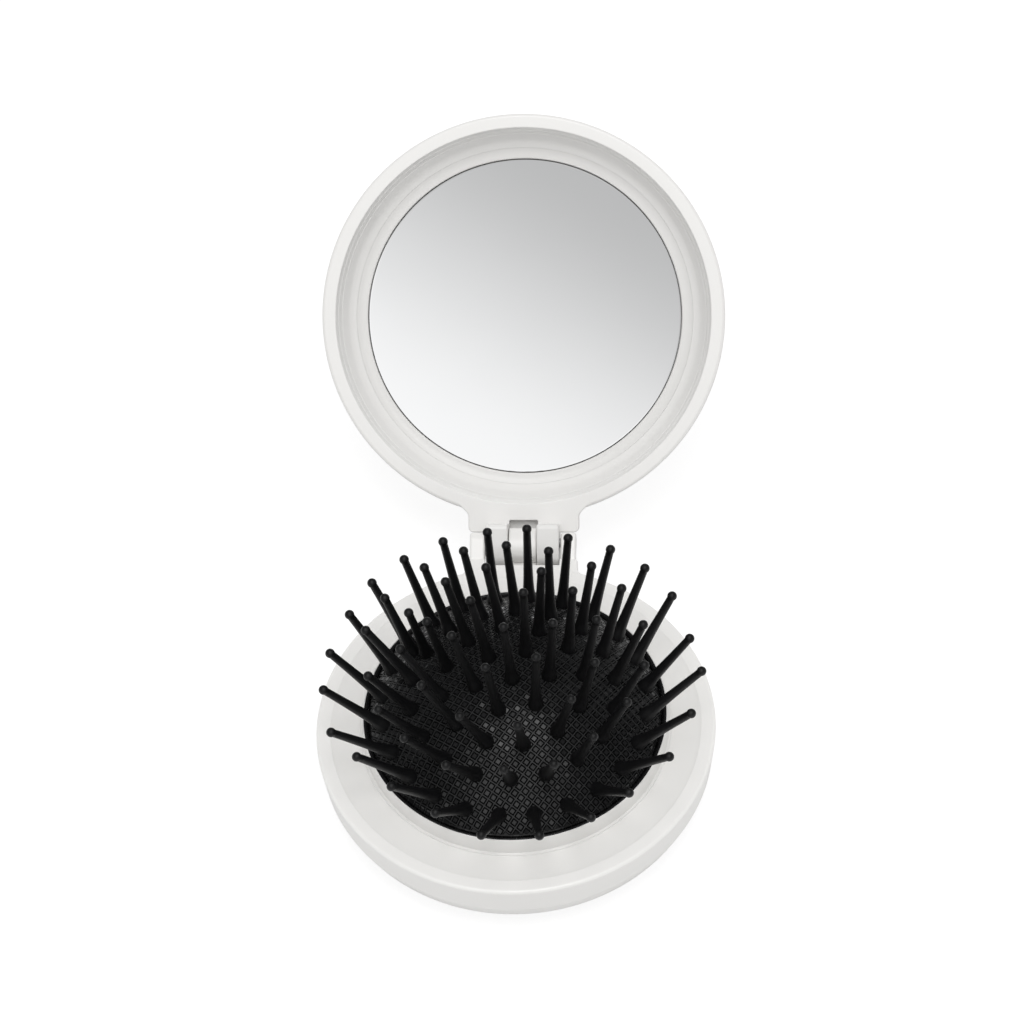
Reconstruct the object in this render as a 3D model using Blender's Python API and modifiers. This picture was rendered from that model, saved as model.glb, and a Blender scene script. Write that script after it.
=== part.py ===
# Compact pop-up hairbrush with a mirror in its lid. Metres, +Z up.
# The foot stands on z = 0, the hinge is at the back (+Y) and the front is at -Y.
# The origin is on the foot ring, between the base's centre line and the hinge.
import math

import bpy
import bmesh
from mathutils import Matrix, Vector

# Driving dimensions
BASE_RADIUS = 0.0340
BASE_HEIGHT = 0.0136
BASE_WALL = 0.0026
FOOT_INSET = 0.0054
SIDE_WALL_HEIGHT = 0.0063
ORIGIN_BEHIND_BASE_AXIS = 0.0200

LID_OVERHANG = 0.0010
LID_OPEN_ANGLE = math.radians(141.3)
MIRROR_DEPTH = 0.0062
GLASS_THICKNESS = 0.0008
COVER_WALL = 0.0010

HINGE_BEHIND_BASE = 0.0054
HINGE_BELOW_RIM = 0.0010
HINGE_PIN_RADIUS = 0.0008

DOME_RADIUS = 0.0352
DOME_EDGE_HEIGHT = 0.00312
CUSHION_WALL = 0.0014
SKIN = 0.0004

PIN_LENGTH = 0.0142
PIN_RING_RADIUS_SHARES = (0.2506, 0.4795, 0.6880, 0.8892)
PIN_START_ANGLE = math.radians(10.3)

SEAT_GAP = 0.0003
OVERRUN = 0.001

# Places that follow from the driving dimensions
RIM_Z = BASE_HEIGHT
BASE_Y = -ORIGIN_BEHIND_BASE_AXIS
FOOT_RADIUS = BASE_RADIUS - FOOT_INSET
LID_RADIUS = BASE_RADIUS + LID_OVERHANG
HINGE_Y = BASE_Y + BASE_RADIUS + HINGE_BEHIND_BASE
HINGE_Z = RIM_Z - HINGE_BELOW_RIM
LID_RIM_Z = RIM_Z + SEAT_GAP

# Finishes, one shader for each
WHITE = ("white_plastic", (0.80, 0.80, 0.79, 1.0), 0.38, 0.0)
RUBBER = ("black_rubber", (0.012, 0.012, 0.013, 1.0), 0.55, 0.0)
NYLON = ("black_nylon", (0.009, 0.010, 0.012, 1.0), 0.32, 0.0)
MIRROR = ("silvered_glass", (0.86, 0.87, 0.88, 1.0), 0.04, 1.0)
STEEL = ("hinge_steel", (0.55, 0.55, 0.56, 1.0), 0.30, 1.0)
TAPE = ("foam_tape", (0.70, 0.70, 0.68, 1.0), 0.90, 0.0)

# Turning steps: shells, hidden rings, and the small round pieces
SHELL_STEPS = 52
RING_STEPS = 48
KNUCKLE_STEPS = 24
PIN_STEPS = 6


def clear_scene():
    for old in list(bpy.data.objects):
        bpy.data.objects.remove(old, do_unlink=True)


def new_collection(name):
    made = bpy.data.collections.new(name)
    bpy.context.scene.collection.children.link(made)
    return made


clear_scene()
PARTS = new_collection("pop_up_mirror_brush")
GUIDES = new_collection("cutters_and_guides")


def finish_material(finish):
    name, colour, roughness, metallic = finish
    found = bpy.data.materials.get(name)
    if found:
        return found
    made = bpy.data.materials.new(name)
    made.use_nodes = True
    shader = made.node_tree.nodes["Principled BSDF"]
    shader.inputs["Base Color"].default_value = colour
    shader.inputs["Roughness"].default_value = roughness
    shader.inputs["Metallic"].default_value = metallic
    return made


def frame_empty(name, place, turn_x=0.0):
    """An empty that a body's pieces hang from, on that body's joint."""
    empty = bpy.data.objects.new(name, None)
    empty.location = place
    empty.rotation_euler = (turn_x, 0.0, 0.0)
    GUIDES.objects.link(empty)
    return empty


BASE_FRAME = frame_empty("base_frame", (0.0, 0.0, 0.0))
LID_FRAME = frame_empty("lid_hinge_axis", (0.0, HINGE_Y, HINGE_Z), -LID_OPEN_ANGLE)
PAD_FRAME = frame_empty("brush_slide_axis", (0.0, BASE_Y, RIM_Z))


def hang(obj, frame):
    """Meshes are drawn with the lid closed, and the frame then turns them to where they rest."""
    obj.parent = frame
    obj.location = -frame.location
    return obj


def add_object(name, mesh, frame, finish=None):
    obj = bpy.data.objects.new(name, mesh)
    if finish:
        mesh.materials.append(finish_material(finish))
        PARTS.objects.link(obj)
    else:
        obj.hide_render = True
        obj.display_type = "WIRE"
        GUIDES.objects.link(obj)
    return hang(obj, frame)


def turned(name, outline, frame, finish=None, steps=SHELL_STEPS, closed=True, centre_y=BASE_Y):
    """Turns an outline of (radius, height) about the vertical line through centre_y."""
    bm = bmesh.new()
    points = [bm.verts.new((r, 0.0, z)) for r, z in outline]
    for first, second in zip(points, points[1:]):
        bm.edges.new((first, second))
    if closed:
        bm.edges.new((points[-1], points[0]))
    mesh = bpy.data.meshes.new(name)
    bm.to_mesh(mesh)
    bm.free()
    obj = add_object(name, mesh, frame, finish)
    obj.location = obj.location + Vector((0.0, centre_y, 0.0))
    screw = obj.modifiers.new("turn", "SCREW")
    screw.axis = "Z"
    screw.angle = math.tau
    screw.steps = steps
    screw.render_steps = steps
    screw.use_merge_vertices = True
    screw.merge_threshold = 0.00001
    screw.use_smooth_shade = True
    return obj


def arc(centre_r, centre_z, radius, start_deg, end_deg, count):
    """Points of (radius, height) along a circle, both ends included."""
    found = []
    for i in range(count + 1):
        a = math.radians(start_deg + (end_deg - start_deg) * i / count)
        found.append((centre_r + radius * math.cos(a), centre_z + radius * math.sin(a)))
    return found


def evaluated_mesh(obj, name):
    """The object's mesh with its modifiers or curve made real and its seams welded."""
    bpy.context.view_layer.update()
    graph = bpy.context.evaluated_depsgraph_get()
    mesh = bpy.data.meshes.new_from_object(obj.evaluated_get(graph))
    mesh.name = name
    bm = bmesh.new()
    bm.from_mesh(mesh)
    bmesh.ops.remove_doubles(bm, verts=bm.verts, dist=0.000001)
    bmesh.ops.recalc_face_normals(bm, faces=bm.faces)
    bm.to_mesh(mesh)
    bm.free()
    return mesh


def plate(name, outline, depth, frame, centre, turn=Matrix()):
    """A flat outline given a thickness: drawn in XY, turned, and put at its centre."""
    curve = bpy.data.curves.new(name, "CURVE")
    curve.dimensions = "2D"
    curve.fill_mode = "BOTH"
    curve.extrude = depth / 2
    spline = curve.splines.new("POLY")
    spline.points.add(len(outline) - 1)
    for point, (x, y) in zip(spline.points, outline):
        point.co = (x, y, 0.0, 1.0)
    spline.use_cyclic_u = True
    drawn = bpy.data.objects.new(name, curve)
    GUIDES.objects.link(drawn)
    mesh = evaluated_mesh(drawn, name)
    bpy.data.objects.remove(drawn, do_unlink=True)
    mesh.transform(Matrix.Translation(centre) @ turn)
    return add_object(name, mesh, frame)


def block(name, low, high, frame):
    bm = bmesh.new()
    bmesh.ops.create_cube(bm, size=1.0)
    size = Vector(high) - Vector(low)
    middle = (Vector(high) + Vector(low)) / 2
    bm.transform(Matrix.Translation(middle) @ Matrix.Diagonal((*size, 1.0)))
    mesh = bpy.data.meshes.new(name)
    bm.to_mesh(mesh)
    bm.free()
    return add_object(name, mesh, frame)


def bar_along_x(name, radius, low_x, high_x, frame, steps=KNUCKLE_STEPS):
    """A round bar on the hinge's line, between two places along it."""
    bm = bmesh.new()
    bmesh.ops.create_cone(
        bm, cap_ends=True, segments=steps, radius1=radius, radius2=radius, depth=high_x - low_x
    )
    bm.transform(
        Matrix.Translation(((low_x + high_x) / 2, HINGE_Y, HINGE_Z))
        @ Matrix.Rotation(math.pi / 2, 4, "Y")
    )
    mesh = bpy.data.meshes.new(name)
    bm.to_mesh(mesh)
    bm.free()
    return add_object(name, mesh, frame)


def combine(obj, other, operation):
    step = obj.modifiers.new(other.name, "BOOLEAN")
    step.operation = operation
    step.solver = "EXACT"
    step.object = other
    return obj


def soften(obj, angle_deg=35.0):
    """Shades round surfaces smooth and keeps true corners sharp."""
    obj.data.shade_smooth()
    obj.data.set_sharp_from_angle(angle=math.radians(angle_deg))


# The hinge's own sizes, shared by the knuckles of the base and of the lid
KNUCKLE_RADIUS = 0.0038
CENTRE_KNUCKLE_HALF_WIDTH = 0.00205
KNUCKLE_GAP = 0.00065
LID_KNUCKLE_WIDTH = 0.0036
EAR_GAP = 0.0007
EAR_WIDTH = 0.0021
EAR_RADIUS = 0.0020
EAR_INSET = 0.0005
LID_KNUCKLE_INNER_X = CENTRE_KNUCKLE_HALF_WIDTH + KNUCKLE_GAP
LID_KNUCKLE_OUTER_X = LID_KNUCKLE_INNER_X + LID_KNUCKLE_WIDTH
EAR_INNER_X = LID_KNUCKLE_OUTER_X + EAR_GAP
EAR_OUTER_X = EAR_INNER_X + EAR_WIDTH
LUG_HALF_WIDTH = EAR_OUTER_X + EAR_INSET
LUG_FLARE = 0.0016
KNUCKLE_BLOCK_REACH = 0.00395
KNUCKLE_CORNER = 0.0015
PIN_CLEARANCE = 0.0003
SIDE_CLEARANCE = 0.00035
PIN_END_RECESS = 0.0003
TURN_TO_HINGE_SECTION = Matrix(((0, 0, 1, 0), (1, 0, 0, 0), (0, 1, 0, 0), (0, 0, 0, 1)))

# The base shell's own sizes
RIM_WIDTH = 0.0026
RIM_INNER_RADIUS = BASE_RADIUS - RIM_WIDTH
RIM_EDGE_ROUND = 0.0011
LID_EDGE_ROUND = 0.0005
LEDGE_WIDTH = 0.0010
LEDGE_INNER_RADIUS = RIM_INNER_RADIUS - LEDGE_WIDTH
LEDGE_DEPTH = 0.0024
LEDGE_THICKNESS = 0.0012
PLATE_RADIUS = 0.0086
THUMB_HOLE_MARGIN = 0.0019
THUMB_HOLE_RADIUS = PLATE_RADIUS + THUMB_HOLE_MARGIN
SHELL_INNER_RADIUS = BASE_RADIUS - BASE_WALL
FOOT_ROUND = 0.0008
SHOULDER_ROUND = 0.0020
BASE_LUG_BACK = 0.0033
BASE_LUG_DEPTH = 0.0058
EAR_WEB_TOP = 0.0006
WEB_DROP = 0.0002


def base_shell_outline():
    side_low = RIM_Z - SIDE_WALL_HEIGHT
    slope = math.atan2(BASE_RADIUS - FOOT_RADIUS, side_low)
    wall_run = BASE_WALL / math.cos(slope)
    inner_foot = FOOT_RADIUS + BASE_WALL * math.tan(slope) - wall_run
    shoulder = arc(
        BASE_RADIUS - SHOULDER_ROUND, side_low, SHOULDER_ROUND, 0.0, -math.degrees(slope), 2
    )
    foot = arc(FOOT_RADIUS - FOOT_ROUND, FOOT_ROUND, FOOT_ROUND, -math.degrees(slope), -90.0, 2)
    edge = arc(BASE_RADIUS - RIM_EDGE_ROUND, RIM_Z - RIM_EDGE_ROUND, RIM_EDGE_ROUND, 90.0, 0.0, 3)
    return [
        (RIM_INNER_RADIUS, RIM_Z),
        *edge,
        *shoulder,
        *foot,
        (THUMB_HOLE_RADIUS, 0.0),
        (THUMB_HOLE_RADIUS, BASE_WALL),
        (inner_foot, BASE_WALL),
        (SHELL_INNER_RADIUS, side_low),
        (SHELL_INNER_RADIUS, RIM_Z - LEDGE_DEPTH - LEDGE_THICKNESS),
        (LEDGE_INNER_RADIUS, RIM_Z - LEDGE_DEPTH - LEDGE_THICKNESS),
        (LEDGE_INNER_RADIUS, RIM_Z - LEDGE_DEPTH),
        (RIM_INNER_RADIUS, RIM_Z - LEDGE_DEPTH),
    ]


def centre_knuckle_outline():
    """Across the hinge: a round barrel with a web that reaches into the shell's wall."""
    root = BASE_Y + SHELL_INNER_RADIUS + SEAT_GAP - HINGE_Y
    web_top = HINGE_BELOW_RIM - WEB_DROP
    meet = 180.0 - math.degrees(math.asin(web_top / KNUCKLE_RADIUS))
    barrel = arc(0.0, 0.0, KNUCKLE_RADIUS, -90.0, meet, KNUCKLE_STEPS * 3 // 4)
    return [(root, -KNUCKLE_RADIUS), *barrel, (root, web_top)]


def ear_outline():
    """Across the hinge: a small round ear with a web that reaches into the lug."""
    root = -BASE_LUG_BACK - OVERRUN
    meet = 180.0 - math.degrees(math.asin(EAR_WEB_TOP / EAR_RADIUS))
    barrel = arc(0.0, 0.0, EAR_RADIUS, -90.0, meet, KNUCKLE_STEPS // 2)
    return [(root, -EAR_RADIUS), *barrel, (root, EAR_WEB_TOP)]


def make_base_lug():
    """The lug behind the rim: room for the lid's knuckles, the centre knuckle and two ears."""
    root_y = BASE_Y + SHELL_INNER_RADIUS + SEAT_GAP
    back_y = HINGE_Y - BASE_LUG_BACK
    ring_y = BASE_Y + math.sqrt(BASE_RADIUS**2 - LUG_HALF_WIDTH**2)
    lug = plate(
        "base_lug",
        [
            (-LUG_HALF_WIDTH - LUG_FLARE, ring_y - LUG_FLARE),
            (-LUG_HALF_WIDTH, ring_y + LUG_FLARE / 2),
            (-LUG_HALF_WIDTH, back_y),
            (LUG_HALF_WIDTH, back_y),
            (LUG_HALF_WIDTH, ring_y + LUG_FLARE / 2),
            (LUG_HALF_WIDTH + LUG_FLARE, ring_y - LUG_FLARE),
            (CENTRE_KNUCKLE_HALF_WIDTH, root_y),
            (-CENTRE_KNUCKLE_HALF_WIDTH, root_y),
        ],
        BASE_LUG_DEPTH,
        BASE_FRAME,
        (0.0, 0.0, RIM_Z - BASE_LUG_DEPTH / 2),
    )
    block_corner = math.hypot(
        KNUCKLE_BLOCK_REACH - KNUCKLE_CORNER, KNUCKLE_RADIUS - KNUCKLE_CORNER
    )
    swing_radius = block_corner + KNUCKLE_CORNER + PIN_CLEARANCE
    for side in (-1, 1):
        near_x = side * (LID_KNUCKLE_INNER_X - SIDE_CLEARANCE)
        far_x = side * (LID_KNUCKLE_OUTER_X + SIDE_CLEARANCE)
        room = bar_along_x(
            f"lid_knuckle_room_{side}",
            swing_radius,
            min(near_x, far_x),
            max(near_x, far_x),
            BASE_FRAME,
        )
        combine(lug, room, "DIFFERENCE")
    barrel = plate(
        "centre_knuckle",
        centre_knuckle_outline(),
        CENTRE_KNUCKLE_HALF_WIDTH * 2,
        BASE_FRAME,
        (0.0, HINGE_Y, HINGE_Z),
        TURN_TO_HINGE_SECTION,
    )
    combine(lug, barrel, "UNION")
    for side in (-1, 1):
        ear = plate(
            f"ear_{side}",
            ear_outline(),
            EAR_OUTER_X - EAR_INNER_X,
            BASE_FRAME,
            (side * (EAR_INNER_X + EAR_OUTER_X) / 2, HINGE_Y, HINGE_Z),
            TURN_TO_HINGE_SECTION,
        )
        combine(lug, ear, "UNION")
    return lug


def make_base_shell():
    """The white bowl: rim, side wall, foot with its thumb hole, and the hinge lug behind."""
    shell = turned("base_shell", base_shell_outline(), BASE_FRAME, WHITE)
    combine(shell, make_base_lug(), "UNION")
    bore = bar_along_x(
        "base_hinge_bore",
        HINGE_PIN_RADIUS + PIN_CLEARANCE,
        -LUG_HALF_WIDTH - OVERRUN,
        LUG_HALF_WIDTH + OVERRUN,
        BASE_FRAME,
    )
    combine(shell, bore, "DIFFERENCE")
    soften(shell)


# The brush collar's own sizes
FLOOR_BELOW_RIM = 0.0005
FLOOR_THICKNESS = 0.0016
COLLAR_HEIGHT = 0.0030
COLLAR_WALL = 0.0005
COLLAR_FOOT_ROUND = 0.0004
FLOOR_WIDTH = 0.0054
COLLAR_RADIUS = RIM_INNER_RADIUS - SEAT_GAP - FLOOR_WIDTH
CUSHION_RADIUS = COLLAR_RADIUS - COLLAR_WALL - SEAT_GAP
SNAP_CLEARANCE = 0.0004
SNAP_SKIRT_RADIUS = LEDGE_INNER_RADIUS - SNAP_CLEARANCE
SNAP_SKIRT_WALL = 0.0010
SNAP_SKIRT_LENGTH = 0.0039


def make_brush_collar():
    """The white ring inside the rim: a flat floor, a raised collar and a snap skirt below."""
    inner = COLLAR_RADIUS - COLLAR_WALL
    outer = COLLAR_RADIUS
    floor_z = RIM_Z - FLOOR_BELOW_RIM
    under_z = floor_z - FLOOR_THICKNESS
    edge = RIM_INNER_RADIUS - SEAT_GAP
    outline = [
        (inner, RIM_Z + COLLAR_HEIGHT),
        (outer, RIM_Z + COLLAR_HEIGHT),
        (outer, floor_z + COLLAR_FOOT_ROUND),
        (outer + COLLAR_FOOT_ROUND, floor_z),
        (edge, floor_z),
        (edge, under_z),
        (SNAP_SKIRT_RADIUS, under_z),
        (SNAP_SKIRT_RADIUS, under_z - SNAP_SKIRT_LENGTH),
        (SNAP_SKIRT_RADIUS - SNAP_SKIRT_WALL, under_z - SNAP_SKIRT_LENGTH),
        (SNAP_SKIRT_RADIUS - SNAP_SKIRT_WALL, under_z),
        (inner, under_z),
    ]
    soften(turned("brush_collar", outline, BASE_FRAME, WHITE))


# The cushion's dome and clamped edge, and the ring that holds it
DOME_CENTRE_Z = RIM_Z + DOME_EDGE_HEIGHT - math.sqrt(DOME_RADIUS**2 - CUSHION_RADIUS**2)
SKIRT_WALL = 0.0013
FLANGE_THICKNESS = 0.0011
RETAINER_LIP = 0.0006
RETAINER_DEPTH = 0.0024
RETAINER_STEP_RADIUS = CUSHION_RADIUS + SKIRT_WALL
RETAINER_STEP = 0.0007


def cushion_flange_top():
    return RIM_Z - FLOOR_BELOW_RIM - FLOOR_THICKNESS - SEAT_GAP


def cushion_flange_radius():
    return SNAP_SKIRT_RADIUS - SNAP_SKIRT_WALL - SEAT_GAP


def make_cushion_retainer():
    """The ring that clamps the cushion's flange up under the collar's floor."""
    top = cushion_flange_top() - FLANGE_THICKNESS - SEAT_GAP
    outline = [
        (CUSHION_RADIUS - SKIRT_WALL - RETAINER_LIP, top),
        (cushion_flange_radius(), top),
        (cushion_flange_radius(), top - RETAINER_DEPTH),
        (RETAINER_STEP_RADIUS, top - RETAINER_DEPTH),
        (RETAINER_STEP_RADIUS - RETAINER_STEP, top - RETAINER_DEPTH + RETAINER_STEP),
        (CUSHION_RADIUS - SKIRT_WALL - RETAINER_LIP, top - RETAINER_DEPTH + RETAINER_STEP),
    ]
    soften(turned("cushion_retainer", outline, BASE_FRAME, WHITE, RING_STEPS))


def dome_points(radius, low_r, high_r, count):
    """Points on a sphere about the dome's centre, from one distance off its axis to another."""
    found = []
    for i in range(count + 1):
        r = low_r + (high_r - low_r) * i / count
        found.append((r, DOME_CENTRE_Z + math.sqrt(radius**2 - r**2)))
    return found


DOME_RINGS = 8


def make_rubber_cushion():
    """The rubber diaphragm: a dome, a skirt down inside the collar, and a clamped flange."""
    outer = DOME_RADIUS - SKIN - SEAT_GAP
    inner = outer - CUSHION_WALL
    skirt = CUSHION_RADIUS - SKIRT_WALL
    flange_top = cushion_flange_top()
    flange_r = cushion_flange_radius()
    outline = [
        *dome_points(outer, 0.0, CUSHION_RADIUS, DOME_RINGS),
        (CUSHION_RADIUS, flange_top),
        (flange_r, flange_top),
        (flange_r, flange_top - FLANGE_THICKNESS),
        (skirt, flange_top - FLANGE_THICKNESS),
        *reversed(dome_points(inner, 0.0, skirt, DOME_RINGS)),
    ]
    soften(turned("rubber_cushion", outline, PAD_FRAME, RUBBER, RING_STEPS, closed=False))


# One brush pin's own sizes
PIN_BALL_RADIUS = 0.00085
PIN_NECK_RADIUS = 0.00060
PIN_ROOT_RADIUS = 0.00100
PIN_FOOT_RADIUS = 0.00135
PIN_FOOT_HEIGHT = 0.0009
PIN_SUNK_DEPTH = SKIN / 2
BAND_RINGS = 2

# How far each pin leans, in degrees outward and sideways, from the centre pin to the outer ring
PIN_LEANS_DEG = (
    ((-3, 3),),
    (
        (5, 2), (9, 3), (13, 3), (13, -5), (7, -4), (3, 1),
    ),
    (
        (12, 5), (9, 3), (11, 0), (14, 7), (18, 3), (26, 0),
        (26, -9), (20, -10), (21, -9), (22, -5), (17, 1), (13, 1),
    ),
    (
        (23, 5), (21, 7), (18, 3), (15, 5), (17, 5), (20, 4),
        (23, 2), (30, 4), (33, -3), (29, 3), (31, -4), (30, -9),
        (32, -8), (28, -2), (29, -2), (23, -2), (22, 2), (23, 3),
    ),
    (
        (35, 2), (36, 10), (33, 6), (27, 1), (20, 1), (23, 2),
        (21, 0), (24, 2), (27, 2), (31, -1), (31, -2), (37, -2),
        (42, -9), (45, -9), (38, -13), (37, -10), (40, -6), (48, -8),
        (49, -2), (46, 1), (43, -3), (43, 5), (41, 10), (43, 15),
    ),
)


def pin_mesh():
    """One nylon pin standing on the origin: flared foot, tapered shaft and ball tip."""
    neck_angle = math.degrees(math.acos(PIN_NECK_RADIUS / PIN_BALL_RADIUS))
    ball = arc(0.0, PIN_LENGTH, PIN_BALL_RADIUS, 90.0, -neck_angle, 3)
    outline = [
        (0.0, PIN_LENGTH + PIN_BALL_RADIUS),
        *ball[1:],
        (PIN_ROOT_RADIUS, PIN_FOOT_HEIGHT),
        (PIN_FOOT_RADIUS, 0.0),
        (PIN_FOOT_RADIUS, -PIN_SUNK_DEPTH),
        (0.0, -PIN_SUNK_DEPTH),
    ]
    pin = turned("pin_pattern", outline, BASE_FRAME, steps=PIN_STEPS, closed=False, centre_y=0.0)
    mesh = evaluated_mesh(pin, "pin_pattern")
    bpy.data.objects.remove(pin, do_unlink=True)
    return mesh


def pin_place(ring_radius, angle, lean):
    """Where a pin stands on the dome, leaning out, and a little to one side."""
    outward, sideways = (math.tan(math.radians(degrees)) for degrees in lean)
    line = Vector((outward, sideways, 1.0))
    stand = Vector((0.0, 0.0, 1.0)).rotation_difference(line).to_matrix().to_4x4()
    height = DOME_CENTRE_Z + math.sqrt(DOME_RADIUS**2 - ring_radius**2)
    foot = Matrix.Translation((0.0, BASE_Y, 0.0)) @ Matrix.Rotation(angle, 4, "Z")
    return foot @ Matrix.Translation((ring_radius, 0.0, height)) @ stand


def make_pin_ring(name, pattern, ring_radius, leans, low_r, high_r):
    """A ring of pins on its own band of the cushion's skin."""
    bm = bmesh.new()
    for i, lean in enumerate(leans):
        before = len(bm.verts)
        bm.from_mesh(pattern)
        bm.verts.ensure_lookup_table()
        angle = PIN_START_ANGLE + math.tau * i / len(leans)
        place = pin_place(ring_radius, angle, lean)
        bmesh.ops.transform(bm, matrix=place, verts=bm.verts[before:])
    mesh = bpy.data.meshes.new(name + "_pins")
    bm.to_mesh(mesh)
    bm.free()
    pins = add_object(name + "_pins", mesh, PAD_FRAME)
    outline = [
        *dome_points(DOME_RADIUS, low_r, high_r, BAND_RINGS),
        *reversed(dome_points(DOME_RADIUS - SKIN, low_r, high_r, BAND_RINGS)),
    ]
    band = turned(name, outline, PAD_FRAME, NYLON, RING_STEPS, closed=low_r > 0)
    combine(band, pins, "UNION")
    soften(band)


def make_pins():
    pattern = pin_mesh()
    radii = [0.0, *(CUSHION_RADIUS * share for share in PIN_RING_RADIUS_SHARES)]
    names = ["pin_centre", "pin_ring_1", "pin_ring_2", "pin_ring_3", "pin_ring_4"]
    for i, name in enumerate(names):
        low = (radii[i - 1] + radii[i]) / 2 + SEAT_GAP / 2 if i else 0.0
        last = i == len(names) - 1
        high = CUSHION_RADIUS if last else (radii[i] + radii[i + 1]) / 2 - SEAT_GAP / 2
        make_pin_ring(name, pattern, radii[i], PIN_LEANS_DEG[i], low, high)


# The thumb plate's own sizes
PLATE_RIM_THICKNESS = 0.0010
PLATE_WEB = 0.0010
PLATE_RIM_WIDTH = 0.0018
PLATE_DISH_RADIUS = PLATE_RADIUS - PLATE_RIM_WIDTH


def make_push_plate():
    """The domed disc under the cushion that a thumb pushes up from below."""
    top_sphere = DOME_RADIUS - SKIN - SEAT_GAP - CUSHION_WALL - SEAT_GAP
    top = dome_points(top_sphere, 0.0, PLATE_RADIUS, 4)
    rim_z = top[-1][1] - PLATE_RIM_THICKNESS
    dish = dome_points(top_sphere - PLATE_WEB, 0.0, PLATE_DISH_RADIUS, 3)
    outline = [*top, (PLATE_RADIUS, rim_z), (PLATE_DISH_RADIUS, rim_z), *reversed(dish)]
    soften(turned("push_plate", outline, PAD_FRAME, WHITE, RING_STEPS, closed=False))


# The lid frame's own sizes, with heights measured into the lid from its rim
LID_RIM_WIDTH = 0.00225
LID_RIM_INNER_RADIUS = LID_RADIUS - LID_RIM_WIDTH
LID_FLANGE = 0.0012
RECESS_DRAFT = 0.00105
RECESS_WALL_RADIUS = LID_RIM_INNER_RADIUS - RECESS_DRAFT
RECESS_WALL_HEIGHT = 0.0040
COVE_RADIUS = 0.0011
RECESS_FLOOR_HEIGHT = 0.0053
RECESS_FLOOR_WIDTH = 0.0021
RECESS_FLOOR_INNER_RADIUS = RECESS_WALL_RADIUS - RECESS_FLOOR_WIDTH
FRAME_WALL = 0.0012
LID_LUG_EDGE = 0.0025
LID_LUG_THICKNESS = 0.0028
NOTCH_HALF_WIDTH = 0.0025
NOTCH_TOP = 0.0047


def lid_z(height):
    return LID_RIM_Z + height


def lid_frame_outline():
    cove = arc(
        RECESS_WALL_RADIUS - COVE_RADIUS,
        RECESS_FLOOR_HEIGHT - COVE_RADIUS,
        COVE_RADIUS,
        0.0,
        90.0,
        3,
    )
    edge = arc(LID_RADIUS - LID_EDGE_ROUND, LID_EDGE_ROUND, LID_EDGE_ROUND, 0.0, -90.0, 2)
    back = RECESS_FLOOR_HEIGHT + FRAME_WALL
    outline = [
        (RECESS_FLOOR_INNER_RADIUS, back),
        (RECESS_WALL_RADIUS, back),
        (RECESS_WALL_RADIUS + FRAME_WALL, RECESS_WALL_HEIGHT),
        (LID_RIM_INNER_RADIUS + FRAME_WALL / 2, LID_FLANGE),
        (LID_RADIUS, LID_FLANGE),
        *edge,
        (LID_RIM_INNER_RADIUS, 0.0),
        *cove,
        (RECESS_FLOOR_INNER_RADIUS, RECESS_FLOOR_HEIGHT),
    ]
    return [(r, lid_z(h)) for r, h in outline]


def lid_lug_outline():
    """The lug's plan: flared where it leaves the ring, with a notch for the centre knuckle."""
    edge_y = HINGE_Y - LID_LUG_EDGE
    notch_y = HINGE_Y - NOTCH_TOP
    ring_y = BASE_Y + math.sqrt(LID_RADIUS**2 - LUG_HALF_WIDTH**2)
    root_y = BASE_Y + LID_RIM_INNER_RADIUS + FRAME_WALL / 4
    right = [
        (NOTCH_HALF_WIDTH, root_y),
        (NOTCH_HALF_WIDTH, notch_y),
        (NOTCH_HALF_WIDTH, edge_y),
        (LUG_HALF_WIDTH - KNUCKLE_CORNER / 2, edge_y),
        (LUG_HALF_WIDTH, edge_y - KNUCKLE_CORNER / 2),
        (LUG_HALF_WIDTH, ring_y + LUG_FLARE / 2),
        (LUG_HALF_WIDTH + LUG_FLARE, ring_y - LUG_FLARE / 2),
        (LUG_HALF_WIDTH + LUG_FLARE / 2, ring_y - LUG_FLARE),
    ]
    return right


def lid_knuckle_outline():
    """Across the hinge: round behind, square towards the lid, its low corner rounded."""
    corner = [
        (y, z)
        for y, z in arc(
            -KNUCKLE_BLOCK_REACH + KNUCKLE_CORNER,
            -KNUCKLE_RADIUS + KNUCKLE_CORNER,
            KNUCKLE_CORNER,
            180.0,
            270.0,
            4,
        )
    ]
    barrel = arc(0.0, 0.0, KNUCKLE_RADIUS, -90.0, 90.0, KNUCKLE_STEPS // 2)
    return [*corner, *barrel, (-KNUCKLE_BLOCK_REACH, KNUCKLE_RADIUS)]


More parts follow.
